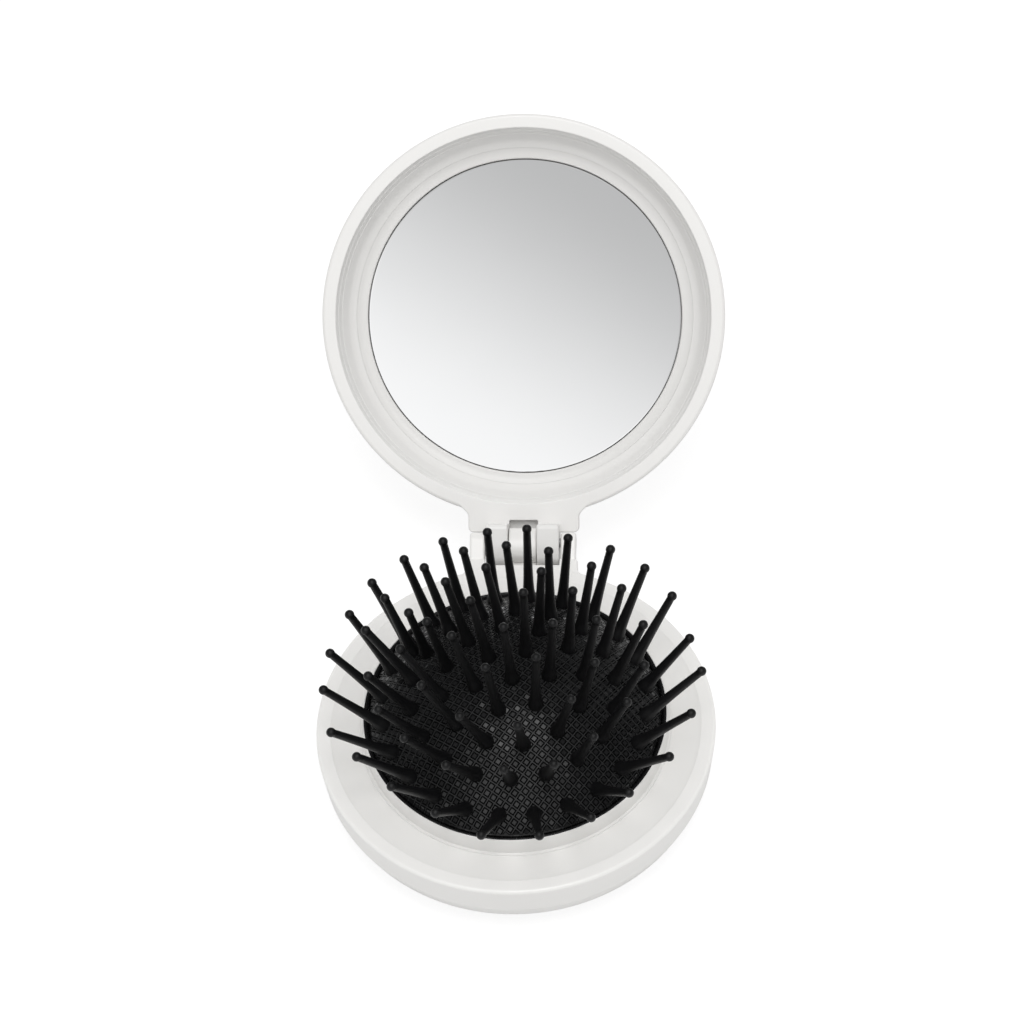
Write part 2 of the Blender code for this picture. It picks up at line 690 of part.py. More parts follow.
def make_lid_frame():
    """The lid's white inner ring: flat rim, recess wall, and the lug with its two knuckles."""
    frame = turned("lid_frame", lid_frame_outline(), LID_FRAME, WHITE)
    for side in (-1, 1):
        outline = [(side * x, y) for x, y in lid_lug_outline()]
        half = plate(
            f"lid_lug_{side}",
            outline[::side],
            LID_LUG_THICKNESS,
            LID_FRAME,
            (0.0, 0.0, lid_z(LID_LUG_THICKNESS / 2)),
        )
        cover_room = turned(
            f"lid_cover_room_{side}",
            [
                (0.0, lid_z(LID_LUG_THICKNESS + OVERRUN)),
                (LID_RADIUS + SEAT_GAP, lid_z(LID_LUG_THICKNESS + OVERRUN)),
                (LID_RADIUS + SEAT_GAP, lid_z(LID_FLANGE)),
                (0.0, lid_z(LID_FLANGE)),
            ],
            LID_FRAME,
            closed=False,
        )
        combine(half, cover_room, "DIFFERENCE")
        combine(frame, half, "UNION")
        middle_x = side * (LID_KNUCKLE_INNER_X + LID_KNUCKLE_OUTER_X) / 2
        knuckle = plate(
            f"lid_knuckle_{side}",
            lid_knuckle_outline(),
            LID_KNUCKLE_OUTER_X - LID_KNUCKLE_INNER_X,
            LID_FRAME,
            (middle_x, HINGE_Y, HINGE_Z),
            TURN_TO_HINGE_SECTION,
        )
        combine(frame, knuckle, "UNION")
    notch = block(
        "lid_notch",
        (-NOTCH_HALF_WIDTH, HINGE_Y - NOTCH_TOP, LID_RIM_Z - OVERRUN),
        (NOTCH_HALF_WIDTH, HINGE_Y, lid_z(LID_LUG_THICKNESS + OVERRUN)),
        LID_FRAME,
    )
    combine(frame, notch, "DIFFERENCE")
    bore = bar_along_x(
        "lid_hinge_bore",
        HINGE_PIN_RADIUS + PIN_CLEARANCE,
        -LUG_HALF_WIDTH,
        LUG_HALF_WIDTH,
        LID_FRAME,
    )
    combine(frame, bore, "DIFFERENCE")
    soften(frame)


# The stack behind the mirror, measured into the lid from its rim
BEZEL_WIDTH = 0.0018
BEZEL_GAP = 0.0003
MIRROR_RADIUS = RECESS_FLOOR_INNER_RADIUS - SEAT_GAP - BEZEL_WIDTH - BEZEL_GAP
TAPE_THICKNESS = 0.0004
TAPE_INSET = 0.0022
COVER_CORNER = 0.0048
COVER_CROWN = 0.0004
MIRROR_EDGE_CHAMFER = 0.0002
BEZEL_PROUD = 0.0006
BEZEL_CHAMFER = 0.0002


def cover_floor_height():
    return MIRROR_DEPTH + GLASS_THICKNESS + SEAT_GAP + TAPE_THICKNESS + SEAT_GAP


def make_lid_cover():
    """The lid's outer shell: a shallow cap, slightly crowned, that shuts on the frame's flange."""
    floor = cover_floor_height()
    top = floor + COVER_WALL
    low = LID_FLANGE + SEAT_GAP
    inner_corner = COVER_CORNER - COVER_WALL
    outline = [
        (0.0, top + COVER_CROWN),
        ((LID_RADIUS - COVER_CORNER) / 2, top + COVER_CROWN * 3 / 4),
        *arc(LID_RADIUS - COVER_CORNER, top - COVER_CORNER, COVER_CORNER, 90.0, 0.0, 5),
        (LID_RADIUS, low),
        (LID_RADIUS - COVER_WALL, low),
        *arc(LID_RADIUS - COVER_CORNER, top - COVER_CORNER, inner_corner, 0.0, 90.0, 4),
        (0.0, floor),
    ]
    cover = turned(
        "lid_cover", [(r, lid_z(h)) for r, h in outline], LID_FRAME, WHITE, closed=False
    )
    soften(cover)


def make_mirror_bezel():
    """The flat ring round the mirror, between the frame's floor and the glass."""
    inner = MIRROR_RADIUS + BEZEL_GAP
    outer = RECESS_FLOOR_INNER_RADIUS - SEAT_GAP
    face = MIRROR_DEPTH - BEZEL_PROUD
    back = cover_floor_height() - SEAT_GAP
    outline = [
        (inner, back),
        (outer, back),
        (outer, face),
        (inner + BEZEL_CHAMFER, face),
        (inner, face + BEZEL_CHAMFER),
    ]
    soften(turned("mirror_bezel", [(r, lid_z(h)) for r, h in outline], LID_FRAME, WHITE))


def make_mirror_glass():
    face = MIRROR_DEPTH
    back = MIRROR_DEPTH + GLASS_THICKNESS
    outline = [
        (0.0, back),
        (MIRROR_RADIUS, back),
        (MIRROR_RADIUS, face + MIRROR_EDGE_CHAMFER),
        (MIRROR_RADIUS - MIRROR_EDGE_CHAMFER, face),
        (0.0, face),
    ]
    glass = turned(
        "mirror_glass", [(r, lid_z(h)) for r, h in outline], LID_FRAME, MIRROR, closed=False
    )
    soften(glass)


def make_mirror_tape():
    near = MIRROR_DEPTH + GLASS_THICKNESS + SEAT_GAP
    far = near + TAPE_THICKNESS
    radius = MIRROR_RADIUS - TAPE_INSET
    outline = [(0.0, far), (radius, far), (radius, near), (0.0, near)]
    tape = turned(
        "mirror_tape",
        [(r, lid_z(h)) for r, h in outline],
        LID_FRAME,
        TAPE,
        RING_STEPS,
        closed=False,
    )
    soften(tape)


def make_hinge_pin():
    """The steel pin through the ears and all three knuckles."""
    half = EAR_OUTER_X - PIN_END_RECESS
    pin = bar_along_x("hinge_pin", HINGE_PIN_RADIUS, -half, half, BASE_FRAME, PIN_STEPS * 2)
    GUIDES.objects.unlink(pin)
    PARTS.objects.link(pin)
    pin.hide_render = False
    pin.display_type = "TEXTURED"
    pin.data.materials.append(finish_material(STEEL))
    soften(pin)


make_base_shell()
make_brush_collar()
make_cushion_retainer()
make_hinge_pin()
make_rubber_cushion()
make_pins()
make_push_plate()
make_lid_frame()
make_lid_cover()
make_mirror_bezel()
make_mirror_glass()
make_mirror_tape()
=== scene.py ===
# A compact pop-up hairbrush with a mirror in its lid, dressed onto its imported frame.
# Built in metres, +Z up, from sizes in millimetres: the foot stands on z = 0, the hinge is at
# the back (+Y) and the front at -Y. Heights are taken from the base's rim, or from the lid's
# rim in the lid, whose pieces are drawn shut, over the base, and turned up to where they rest.
import math

import bmesh
import bpy
from mathutils import Matrix, Vector


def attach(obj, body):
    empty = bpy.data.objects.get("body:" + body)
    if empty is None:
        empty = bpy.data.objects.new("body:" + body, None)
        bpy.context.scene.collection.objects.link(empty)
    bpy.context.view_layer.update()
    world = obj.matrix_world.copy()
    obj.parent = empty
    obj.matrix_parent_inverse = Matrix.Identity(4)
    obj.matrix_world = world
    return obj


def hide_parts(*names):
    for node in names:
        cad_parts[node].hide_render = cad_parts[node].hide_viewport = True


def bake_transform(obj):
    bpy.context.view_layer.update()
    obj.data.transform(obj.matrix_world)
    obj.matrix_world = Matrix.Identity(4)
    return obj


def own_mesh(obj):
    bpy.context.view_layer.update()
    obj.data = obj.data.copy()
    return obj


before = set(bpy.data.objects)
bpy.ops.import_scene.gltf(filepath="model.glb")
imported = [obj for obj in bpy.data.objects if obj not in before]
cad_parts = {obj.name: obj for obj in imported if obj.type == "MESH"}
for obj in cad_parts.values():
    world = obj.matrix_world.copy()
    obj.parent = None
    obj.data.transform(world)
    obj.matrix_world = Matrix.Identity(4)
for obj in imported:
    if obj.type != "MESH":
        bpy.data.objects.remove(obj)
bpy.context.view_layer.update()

# Base shell
# The white moulded bowl that the hand holds: rim, tapered side, coned bottom and flat foot,
# with the thumb hole in it and the hinge lug, centre knuckle and two small ears behind.
MM = 0.001
BASE_Y = -20.0 * MM
RIM_Z = 13.6 * MM
HINGE_Y = BASE_Y + 39.4 * MM
HINGE_Z = RIM_Z - 1.0 * MM
WELD_DISTANCE = 1e-7
SHELL_STEPS = 240
ROD_STEPS = 48
FILLET_POINTS = 6
FILLET_REACH_SHARE = 0.48
MITRE_LIMIT = 0.3
EDGE_STEPS = 4
SHARP_ANGLE = math.radians(34.0)
FINE_EDGE = 0.04
CRISP_EDGE = 0.1
BASE_RADIUS = 33.95
RIM_INNER = 31.4
RIM_ROUND = 0.6
UPPER_SIDE = (33.25, -6.2)
LOWER_SIDE = (31.9, -9.5)
SIDE_ROUND = 3.0
SIDE_INSIDE_Z = -7.0
SIDE_INSIDE_ROUND = 1.0
FOOT_RADIUS = 28.6
FOOT_Z = -13.6
FOOT_INSIDE_Z = -11.4
FOOT_INSET = 1.2
FOOT_ROUND = 1.2
THUMB_HOLE_RADIUS = 10.5
HOLE_EDGE = 0.5
CATCH_TOP = -2.4
CATCH_FOOT = -3.6
CATCH_DEPTH = 1.0
LUG_HALF = 9.6
LUG_SETBACK = 3.95
LUG_FLARE = 1.8
LUG_FLARE_ROUND = 1.0
LUG_STRAIGHT = 0.5
LUG_CORNER = 0.5
LUG_ROOT_INSET = 0.3
LUG_ROOT_HALF = 3.0
LUG_TOP_DROP = 0.22
LUG_FOOT_DROP = 5.8
LUG_EDGE = 0.3
LID_KNUCKLE_OUTER = 6.3
KNUCKLE_ROOM = 5.45
KNUCKLE_ROOM_STEPS = 96
KNUCKLE_GAP = 0.2
STRAIGHT_DOWN_DEG = -90.0
CENTRE_KNUCKLE_RADIUS = 2.6
CENTRE_KNUCKLE_FRONT = 3.4
CENTRE_KNUCKLE_HALF = 2.4
CENTRE_KNUCKLE_SWEEP_DEG = 300.0
CENTRE_KNUCKLE_POINTS = 42
CENTRE_KNUCKLE_EDGE = 0.2
CENTRE_ROOT_INSET = 0.9
CENTRE_ROOT_TOP = -2.3
EAR_RADIUS = 1.75
EAR_INNER = 6.55
EAR_OUTER = 9.2
EAR_SWEEP_DEG = 204.0
EAR_POINTS = 24
EAR_EDGE = 0.4
EAR_ROOT = -4.9
EAR_ROOT_TOP = -0.3
BORE_RADIUS = 0.95
BORE_HALF_LENGTH = 12.0
# The case's white and its clouded tint are lighter than the plastic's own white: painted light on
# the base, its retainer and push plate.
WHITE_PAINTED_LIGHTER = (0.838, 0.830, 0.812, 1.0)
WHITE_SHADE = (0.814, 0.806, 0.788, 1.0)
# A finish is a roughness, how far it varies, the grain's scale and the grain's depth in metres
WHITE_FINISH = (0.26, 0.07, 2600.0, 0.000006)
GRAIN_STRENGTH = 0.4
CLOUD_SCALE = 60.0
CLOUD_DETAIL = 3.0
GRAIN_DETAIL = 2.0


def filleted(corners, closed=True):
    """Rounds each (across, up, fillet) corner of an outline given in millimetres."""
    found = []
    for i, (x, y, fillet) in enumerate(corners):
        here = Vector((x, y))
        at_end = not closed and i in (0, len(corners) - 1)
        if fillet <= 0 or at_end:
            found.append((x * MM, y * MM))
            continue
        before = Vector(corners[i - 1][:2]) - here
        after = Vector(corners[(i + 1) % len(corners)][:2]) - here
        half = before.angle(after) / 2
        longest = min(before.length * FILLET_REACH_SHARE, after.length * FILLET_REACH_SHARE)
        reach = min(fillet / math.tan(half), longest)
        radius = reach * math.tan(half)
        middle = (before.normalized() + after.normalized()).normalized()
        centre = here + middle * (radius / math.sin(half))
        start = here + before.normalized() * reach - centre
        end = here + after.normalized() * reach - centre
        first = math.atan2(start.y, start.x)
        turn = (math.atan2(end.y, end.x) - first + math.pi) % math.tau - math.pi
        for k in range(FILLET_POINTS + 1):
            a = first + turn * k / FILLET_POINTS
            point = centre + Vector((math.cos(a), math.sin(a))) * radius
            found.append((point.x * MM, point.y * MM))
    return found


def new_piece(name, bm):
    """A smooth-shaded piece from a bmesh, its corners welded and its faces turned out."""
    bmesh.ops.remove_doubles(bm, verts=bm.verts, dist=WELD_DISTANCE)
    bmesh.ops.recalc_face_normals(bm, faces=bm.faces)
    mesh = bpy.data.meshes.new(name)
    bm.to_mesh(mesh)
    bm.free()
    mesh.shade_smooth()
    piece = bpy.data.objects.new(name, mesh)
    bpy.context.scene.collection.objects.link(piece)
    return piece


def spun(outline, steps, place, closed=False):
    """Turns an outline of (radius, along). place gives the corner at a radius, along and angle."""
    bm = bmesh.new()
    rings = []
    for r, along in outline:
        count = steps if r > WELD_DISTANCE else 1
        rings.append([bm.verts.new(place(r, along, math.tau * k / steps)) for k in range(count)])
    follow = rings[1:] + (rings[:1] if closed else [])
    for upper, lower in zip(rings, follow):
        for k in range(steps):
            n = k + 1
            corners = [upper[k % len(upper)], upper[n % len(upper)]]
            corners += [lower[n % len(lower)], lower[k % len(lower)]]
            corners = list(dict.fromkeys(corners))
            if len(corners) > 2:
                bm.faces.new(corners)
    return bm


def turned(name, outline, steps=SHELL_STEPS, closed=True, up=RIM_Z):
    """Turns an outline of (radius, height) in metres about the brush's centre line."""

    def place(r, z, a):
        return (r * math.sin(a), BASE_Y - r * math.cos(a), up + z)

    return new_piece(name, spun(outline, steps, place, closed))


def mirrored(half):
    """A run of (across, up, fillet) corners, and the same run back on the other side."""
    return half + [(-across, up, fillet) for across, up, fillet in reversed(half)]


def inset(outline, amount):
    """The outline drawn in by an amount, its corners mitred."""
    turns = sum(a[0] * b[1] - b[0] * a[1] for a, b in zip(outline, outline[1:] + outline[:1]))
    side = 1.0 if turns > 0 else -1.0
    found = []
    for i, (x, y) in enumerate(outline):
        into = (Vector((x, y)) - Vector(outline[i - 1])).normalized()
        away = (Vector(outline[(i + 1) % len(outline)]) - Vector((x, y))).normalized()
        one = Vector((-into.y, into.x)) * side
        two = Vector((-away.y, away.x)) * side
        half = (one + two) / 2
        moved = Vector((x, y)) + half * (amount / max(half.length_squared, MITRE_LIMIT))
        found.append((moved.x, moved.y))
    return found


def slab(name, outline, low, high, edge, sideways=False):
    """A filleted outline given a thickness and rounded edges; sideways ones lie across X."""
    layers = [(0.0, low), (0.0, high)]
    if edge:
        rise = [math.radians(90.0 * k / EDGE_STEPS) for k in range(EDGE_STEPS + 1)]
        layers = [(edge * (1 - math.sin(a)), low + edge * (1 - math.cos(a))) for a in rise]
        layers += [(d, high + low - z) for d, z in reversed(layers)]
    bm = bmesh.new()
    rings = []
    for drawn_in, z in layers:
        drawn = inset(outline, drawn_in * MM) if drawn_in else outline
        rings.append([bm.verts.new((x, y, z * MM)) for x, y in drawn])
    bm.faces.new(rings[0])
    bm.faces.new(rings[-1])
    for one, two in zip(rings, rings[1:]):
        for k in range(len(one)):
            bm.faces.new((one[k - 1], one[k], two[k], two[k - 1]))
    if sideways:
        bm.transform(Matrix(((0, 0, 1, 0), (1, 0, 0, 0), (0, 1, 0, 0), (0, 0, 0, 1))))
        bm.transform(Matrix.Translation((0.0, HINGE_Y, HINGE_Z)))
    return new_piece(name, bm)


def rod(name, radius, low, high, steps=ROD_STEPS, end=0.0):
    """A round bar along the hinge's line, its ends chamfered by end."""
    shape = [(0.0, low), (radius - end, low), (radius, low + end)]
    shape += [(radius, high - end), (radius - end, high), (0.0, high)]

    def place(r, x, a):
        return (x * MM, HINGE_Y + r * MM * math.cos(a), HINGE_Z + r * MM * math.sin(a))

    return new_piece(name, spun(shape, steps, place))


def merge(piece, other, operation="UNION"):
    """Joins another solid to the piece, or cuts it away, for good."""
    step = piece.modifiers.new("merge", "BOOLEAN")
    step.operation = operation
    step.solver = "EXACT"
    step.object = other
    bpy.context.view_layer.update()
    graph = bpy.context.evaluated_depsgraph_get()
    made = bpy.data.meshes.new_from_object(piece.evaluated_get(graph))
    piece.modifiers.clear()
    piece.data = made
    bpy.data.objects.remove(other, do_unlink=True)
    return piece


def dress(piece, material, slot, body, *nodes):
    """Smooths a finished piece, gives it its material, and ties it to the frame."""
    piece.data.materials.clear()
    piece.data.materials.append(material)
    piece.data.shade_smooth()
    piece.data.set_sharp_from_angle(angle=SHARP_ANGLE)
    even = piece.modifiers.new("even faces", "WEIGHTED_NORMAL")
    even.keep_sharp = True
    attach(piece, body)
    if nodes:
        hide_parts(*nodes)
    return piece


def group_socket(tree, name, kind, is_input=True, value=None):
    """One named input or output of a shader node group."""
    side = "INPUT" if is_input else "OUTPUT"
    socket = tree.interface.new_socket(name=name, in_out=side, socket_type=kind)
    if value is not None:
        socket.default_value = value
    return socket


def moulded_grain_group():
    """Moulded plastic up close: faint clouding, uneven roughness and a very fine skin grain."""
    tree = bpy.data.node_groups.new("moulded grain", "ShaderNodeTree")
    group_socket(tree, "Colour", "NodeSocketColor")
    group_socket(tree, "Clouded", "NodeSocketColor")
    group_socket(tree, "Base Roughness", "NodeSocketFloat")
    group_socket(tree, "Roughness Spread", "NodeSocketFloat")
    group_socket(tree, "Cloud Scale", "NodeSocketFloat", value=CLOUD_SCALE)
    group_socket(tree, "Grain Scale", "NodeSocketFloat")
    group_socket(tree, "Colour", "NodeSocketColor", is_input=False)
    group_socket(tree, "Roughness", "NodeSocketFloat", is_input=False)
    group_socket(tree, "Height", "NodeSocketFloat", is_input=False)
    nodes, links = tree.nodes, tree.links
    inside = nodes.new("NodeGroupInput")
    outside = nodes.new("NodeGroupOutput")
    place = nodes.new("ShaderNodeTexCoord")
    cloud = nodes.new("ShaderNodeTexNoise")
    cloud.inputs["Detail"].default_value = CLOUD_DETAIL
    grain = nodes.new("ShaderNodeTexNoise")
    grain.inputs["Detail"].default_value = GRAIN_DETAIL
    links.new(place.outputs["Object"], cloud.inputs["Vector"])
    links.new(place.outputs["Object"], grain.inputs["Vector"])
    links.new(inside.outputs["Cloud Scale"], cloud.inputs["Scale"])
    links.new(inside.outputs["Grain Scale"], grain.inputs["Scale"])
    mix = nodes.new("ShaderNodeMix")
    mix.data_type = "RGBA"
    links.new(cloud.outputs["Fac"], mix.inputs["Factor"])
    links.new(inside.outputs["Colour"], mix.inputs["A"])
    links.new(inside.outputs["Clouded"], mix.inputs["B"])
    spread = nodes.new("ShaderNodeMath")
    spread.operation = "MULTIPLY_ADD"
    links.new(cloud.outputs["Fac"], spread.inputs[0])
    links.new(inside.outputs["Roughness Spread"], spread.inputs[1])
    links.new(inside.outputs["Base Roughness"], spread.inputs[2])
    links.new(mix.outputs["Result"], outside.inputs["Colour"])
    links.new(spread.outputs["Value"], outside.inputs["Roughness"])
    links.new(grain.outputs["Fac"], outside.inputs["Height"])
    return tree


MOULDED_GRAIN = moulded_grain_group()


def plastic(name, colour, clouded, finish, specular=0.5):
    """A material of a finish: the grain group feeds a Principled shader and a fine bump."""
    roughness, spread, grain, depth = finish
    made = bpy.data.materials.new(name)
    made.use_nodes = True
    nodes, links = made.node_tree.nodes, made.node_tree.links
    shader = nodes["Principled BSDF"]
    shader.inputs["Specular IOR Level"].default_value = specular
    skin = nodes.new("ShaderNodeGroup")
    skin.node_tree = MOULDED_GRAIN
    skin.inputs["Colour"].default_value = colour
    skin.inputs["Clouded"].default_value = clouded
    skin.inputs["Base Roughness"].default_value = roughness
    skin.inputs["Roughness Spread"].default_value = spread
    skin.inputs["Grain Scale"].default_value = grain
    bump = nodes.new("ShaderNodeBump")
    bump.inputs["Distance"].default_value = depth
    bump.inputs["Strength"].default_value = GRAIN_STRENGTH
    links.new(skin.outputs["Colour"], shader.inputs["Base Color"])
    links.new(skin.outputs["Roughness"], shader.inputs["Roughness"])
    links.new(skin.outputs["Height"], bump.inputs["Height"])
    links.new(bump.outputs["Normal"], shader.inputs["Normal"])
    return made


# The lightest copy of the white plastic: painted light.
case_white_painted_lighter = plastic("case white painted lighter", WHITE_PAINTED_LIGHTER, WHITE_SHADE, WHITE_FINISH)

shell = turned(
    "base_shell_moulding",
    filleted(
        [
            (RIM_INNER, 0.0, FINE_EDGE),
            (BASE_RADIUS, 0.0, RIM_ROUND),
            (*UPPER_SIDE, SIDE_ROUND),
            (*LOWER_SIDE, SIDE_ROUND),
            (FOOT_RADIUS, FOOT_Z, FOOT_ROUND),
            (THUMB_HOLE_RADIUS, FOOT_Z, HOLE_EDGE),
            (THUMB_HOLE_RADIUS, FOOT_INSIDE_Z, HOLE_EDGE),
            (FOOT_RADIUS - FOOT_INSET, FOOT_INSIDE_Z, FOOT_ROUND),
            (RIM_INNER, SIDE_INSIDE_Z, SIDE_INSIDE_ROUND),
            (RIM_INNER, CATCH_FOOT, CRISP_EDGE),
            (RIM_INNER - CATCH_DEPTH, CATCH_FOOT, CRISP_EDGE),
            (RIM_INNER - CATCH_DEPTH, CATCH_TOP, CRISP_EDGE),
            (RIM_INNER, CATCH_TOP, CRISP_EDGE),
        ]
    ),
)

ring_back = math.sqrt(BASE_RADIUS**2 - LUG_HALF**2) + BASE_Y / MM
lug_back = HINGE_Y / MM - LUG_SETBACK
lug_root = BASE_Y / MM + RIM_INNER + LUG_ROOT_INSET
lug_side = [
    (-LUG_HALF - LUG_FLARE, ring_back - LUG_FLARE, 0.0),
    (-LUG_HALF, ring_back + LUG_STRAIGHT, LUG_FLARE_ROUND),
    (-LUG_HALF, lug_back, LUG_CORNER),
]
lug_outline = filleted(mirrored(lug_side) + mirrored([(LUG_ROOT_HALF, lug_root, 0.0)]))
lug_low = RIM_Z / MM - LUG_FOOT_DROP
lug = slab("lug", lug_outline, lug_low, RIM_Z / MM - LUG_TOP_DROP, LUG_EDGE)
room_end = LID_KNUCKLE_OUTER + KNUCKLE_GAP
merge(lug, rod("room", KNUCKLE_ROOM, -room_end, room_end, KNUCKLE_ROOM_STEPS), "DIFFERENCE")
centre_root = lug_root - HINGE_Y / MM + CENTRE_ROOT_INSET
centre_outline = [(centre_root * MM, -CENTRE_KNUCKLE_FRONT * MM)]
for k in range(CENTRE_KNUCKLE_POINTS + 1):
    swept = CENTRE_KNUCKLE_SWEEP_DEG * k / CENTRE_KNUCKLE_POINTS
    a = math.radians(STRAIGHT_DOWN_DEG + swept)
    reach = CENTRE_KNUCKLE_RADIUS if math.cos(a) > 0 else CENTRE_KNUCKLE_FRONT
    rise = CENTRE_KNUCKLE_RADIUS if math.sin(a) > 0 else CENTRE_KNUCKLE_FRONT
    centre_outline.append((reach * math.cos(a) * MM, rise * math.sin(a) * MM))
centre_outline.append((centre_root * MM, CENTRE_ROOT_TOP * MM))
half = CENTRE_KNUCKLE_HALF
merge(lug, slab("centre_knuckle", centre_outline, -half, half, CENTRE_KNUCKLE_EDGE, sideways=True))
for side in (-1, 1):
    ear_outline = [(EAR_ROOT * MM, -EAR_RADIUS * MM)]
    for k in range(EAR_POINTS + 1):
        a = math.radians(STRAIGHT_DOWN_DEG + EAR_SWEEP_DEG * k / EAR_POINTS)
        ear_outline.append((EAR_RADIUS * MM * math.cos(a), EAR_RADIUS * MM * math.sin(a)))
    ear_outline.append((EAR_ROOT * MM, EAR_ROOT_TOP * MM))
    ends = sorted((side * EAR_INNER, side * EAR_OUTER))
    merge(lug, slab("ear", ear_outline, *ends, EAR_EDGE, sideways=True))
merge(shell, lug)
merge(shell, rod("bore", BORE_RADIUS, -BORE_HALF_LENGTH, BORE_HALF_LENGTH), "DIFFERENCE")
dress(shell, case_white_painted_lighter, "white_plastic", "base", "base_shell")

# Brush collar
# A white ring snapped into the rim: the dished floor that is seen round the brush, and the
# low thin collar, with a ledge inside its top that the rubber cushion's bead lies on.
# The collar's white and its clouded tint are a darker copy of the case's white plastic: painted
# shade on the floor round the brush.
COLLAR_WHITE_PAINTED_SHADE = (0.806, 0.798, 0.780, 1.0)
COLLAR_SHADE = (0.782, 0.774, 0.755, 1.0)
COLLAR_TOP = 3.5
COLLAR_LEDGE = 2.6
COLLAR_INNER = 25.05
COLLAR_LIP = 25.62
COLLAR_OUTER = 25.8
LIP_INNER_EDGE = 0.03
LIP_OUTER_EDGE = 0.06
COLLAR_FOOT = 25.9
COLLAR_FOOT_Z = 0.04
COLLAR_FOOT_ROUND = 0.15
COLLAR_BEAD = 26.3
COLLAR_BEAD_Z = -0.02
COLLAR_BEAD_SLOPE = 0.1
COLLAR_FLOOR = -0.28
FLOOR_DISH = ((28.4, 0.0), (29.4, 0.02), (30.2, 0.07), (30.8, 0.14), (31.15, 0.20))
FLOOR_EDGE_Z = -0.02
FLOOR_UNDER_Z = -2.1
RIM_FIT = 0.002
SNAP_SKIRT_INSET = 1.4
SNAP_SKIRT_WALL = 1.0
SNAP_SKIRT_FOOT = -6.0
SNAP_SKIRT_EDGE = 0.2
collar_white_painted_shade = plastic("collar white painted shade", COLLAR_WHITE_PAINTED_SHADE, COLLAR_SHADE, WHITE_FINISH)
floor_outer = RIM_INNER - RIM_FIT
skirt_outer = RIM_INNER - SNAP_SKIRT_INSET
skirt_inner = skirt_outer - SNAP_SKIRT_WALL
dish = [(r, COLLAR_FLOOR + rise, 0.0) for r, rise in FLOOR_DISH]
collar = turned(
    "brush_collar_ring",
    filleted(
        [
            (COLLAR_INNER, COLLAR_LEDGE, FINE_EDGE),
            (COLLAR_LIP, COLLAR_LEDGE, FINE_EDGE),
            (COLLAR_LIP, COLLAR_TOP, LIP_INNER_EDGE),
            (COLLAR_OUTER, COLLAR_TOP, LIP_OUTER_EDGE),
            (COLLAR_FOOT, COLLAR_FOOT_Z, COLLAR_FOOT_ROUND),
            (COLLAR_BEAD, COLLAR_BEAD_Z, CRISP_EDGE),
            (COLLAR_BEAD + COLLAR_BEAD_SLOPE, COLLAR_FLOOR, CRISP_EDGE),
            *dish,
            (floor_outer, FLOOR_EDGE_Z, 0.0),
            (floor_outer, FLOOR_UNDER_Z, CRISP_EDGE),
            (skirt_outer, FLOOR_UNDER_Z, CRISP_EDGE),
            (skirt_outer, SNAP_SKIRT_FOOT, SNAP_SKIRT_EDGE),
            (skirt_inner, SNAP_SKIRT_FOOT, SNAP_SKIRT_EDGE),
            (skirt_inner, FLOOR_UNDER_Z, CRISP_EDGE),
            (COLLAR_INNER, FLOOR_UNDER_Z, CRISP_EDGE),
        ]
    ),
)
dress(collar, collar_white_painted_shade, "white_plastic", "base", "brush_collar")

# Cushion retainer
# A white ring pressed up into the collar's skirt, out of sight, that clamps the rubber
# cushion's flange. Its stepped lower edge can be seen at a slant through the thumb hole.
CUSHION_RADIUS = 24.9
FLANGE_RADIUS = 28.7
RETAINER_INNER = CUSHION_RADIUS - 1.9
RETAINER_TOP = -3.8
RETAINER_FOOT = -6.2
RETAINER_EDGE = 0.2
RETAINER_FOOT_ROUND = 0.3
RETAINER_STEP = -5.5
STEP_OUTER = CUSHION_RADIUS + 1.3
STEP_INNER = CUSHION_RADIUS + 0.6
retainer = turned(
    "cushion_retainer_ring",
    filleted(
        [
            (RETAINER_INNER, RETAINER_TOP, RETAINER_EDGE),
            (FLANGE_RADIUS, RETAINER_TOP, CRISP_EDGE),
            (FLANGE_RADIUS, RETAINER_FOOT, RETAINER_FOOT_ROUND),
            (STEP_OUTER, RETAINER_FOOT, RETAINER_EDGE),
            (STEP_INNER, RETAINER_STEP, RETAINER_EDGE),
            (RETAINER_INNER, RETAINER_STEP, RETAINER_FOOT_ROUND),
        ]
    ),
)
dress(retainer, case_white_painted_lighter, "white_plastic", "base", "cushion_retainer")

# Hinge pin
# A plain drawn steel wire through the ears and all three knuckles, its ends chamfered and
# sunk a little below the ears' faces.
STEEL_COLOUR = (0.56, 0.56, 0.57, 1.0)
STEEL_STREAK = (0.44, 0.44, 0.45, 1.0)
STEEL_FINISH = (0.24, 0.12, 5200.0, 0.000004)
WIRE_RADIUS = 0.8
WIRE_HALF = 8.8
WIRE_STEPS = 40
WIRE_CHAMFER = 0.15
hinge_steel = plastic("hinge steel", STEEL_COLOUR, STEEL_STREAK, STEEL_FINISH)
hinge_steel.node_tree.nodes["Principled BSDF"].inputs["Metallic"].default_value = 1.0
wire = rod("hinge_pin_wire", WIRE_RADIUS, -WIRE_HALF, WIRE_HALF, WIRE_STEPS, WIRE_CHAMFER)
dress(wire, hinge_steel, "hinge_steel", "base", "hinge_pin")

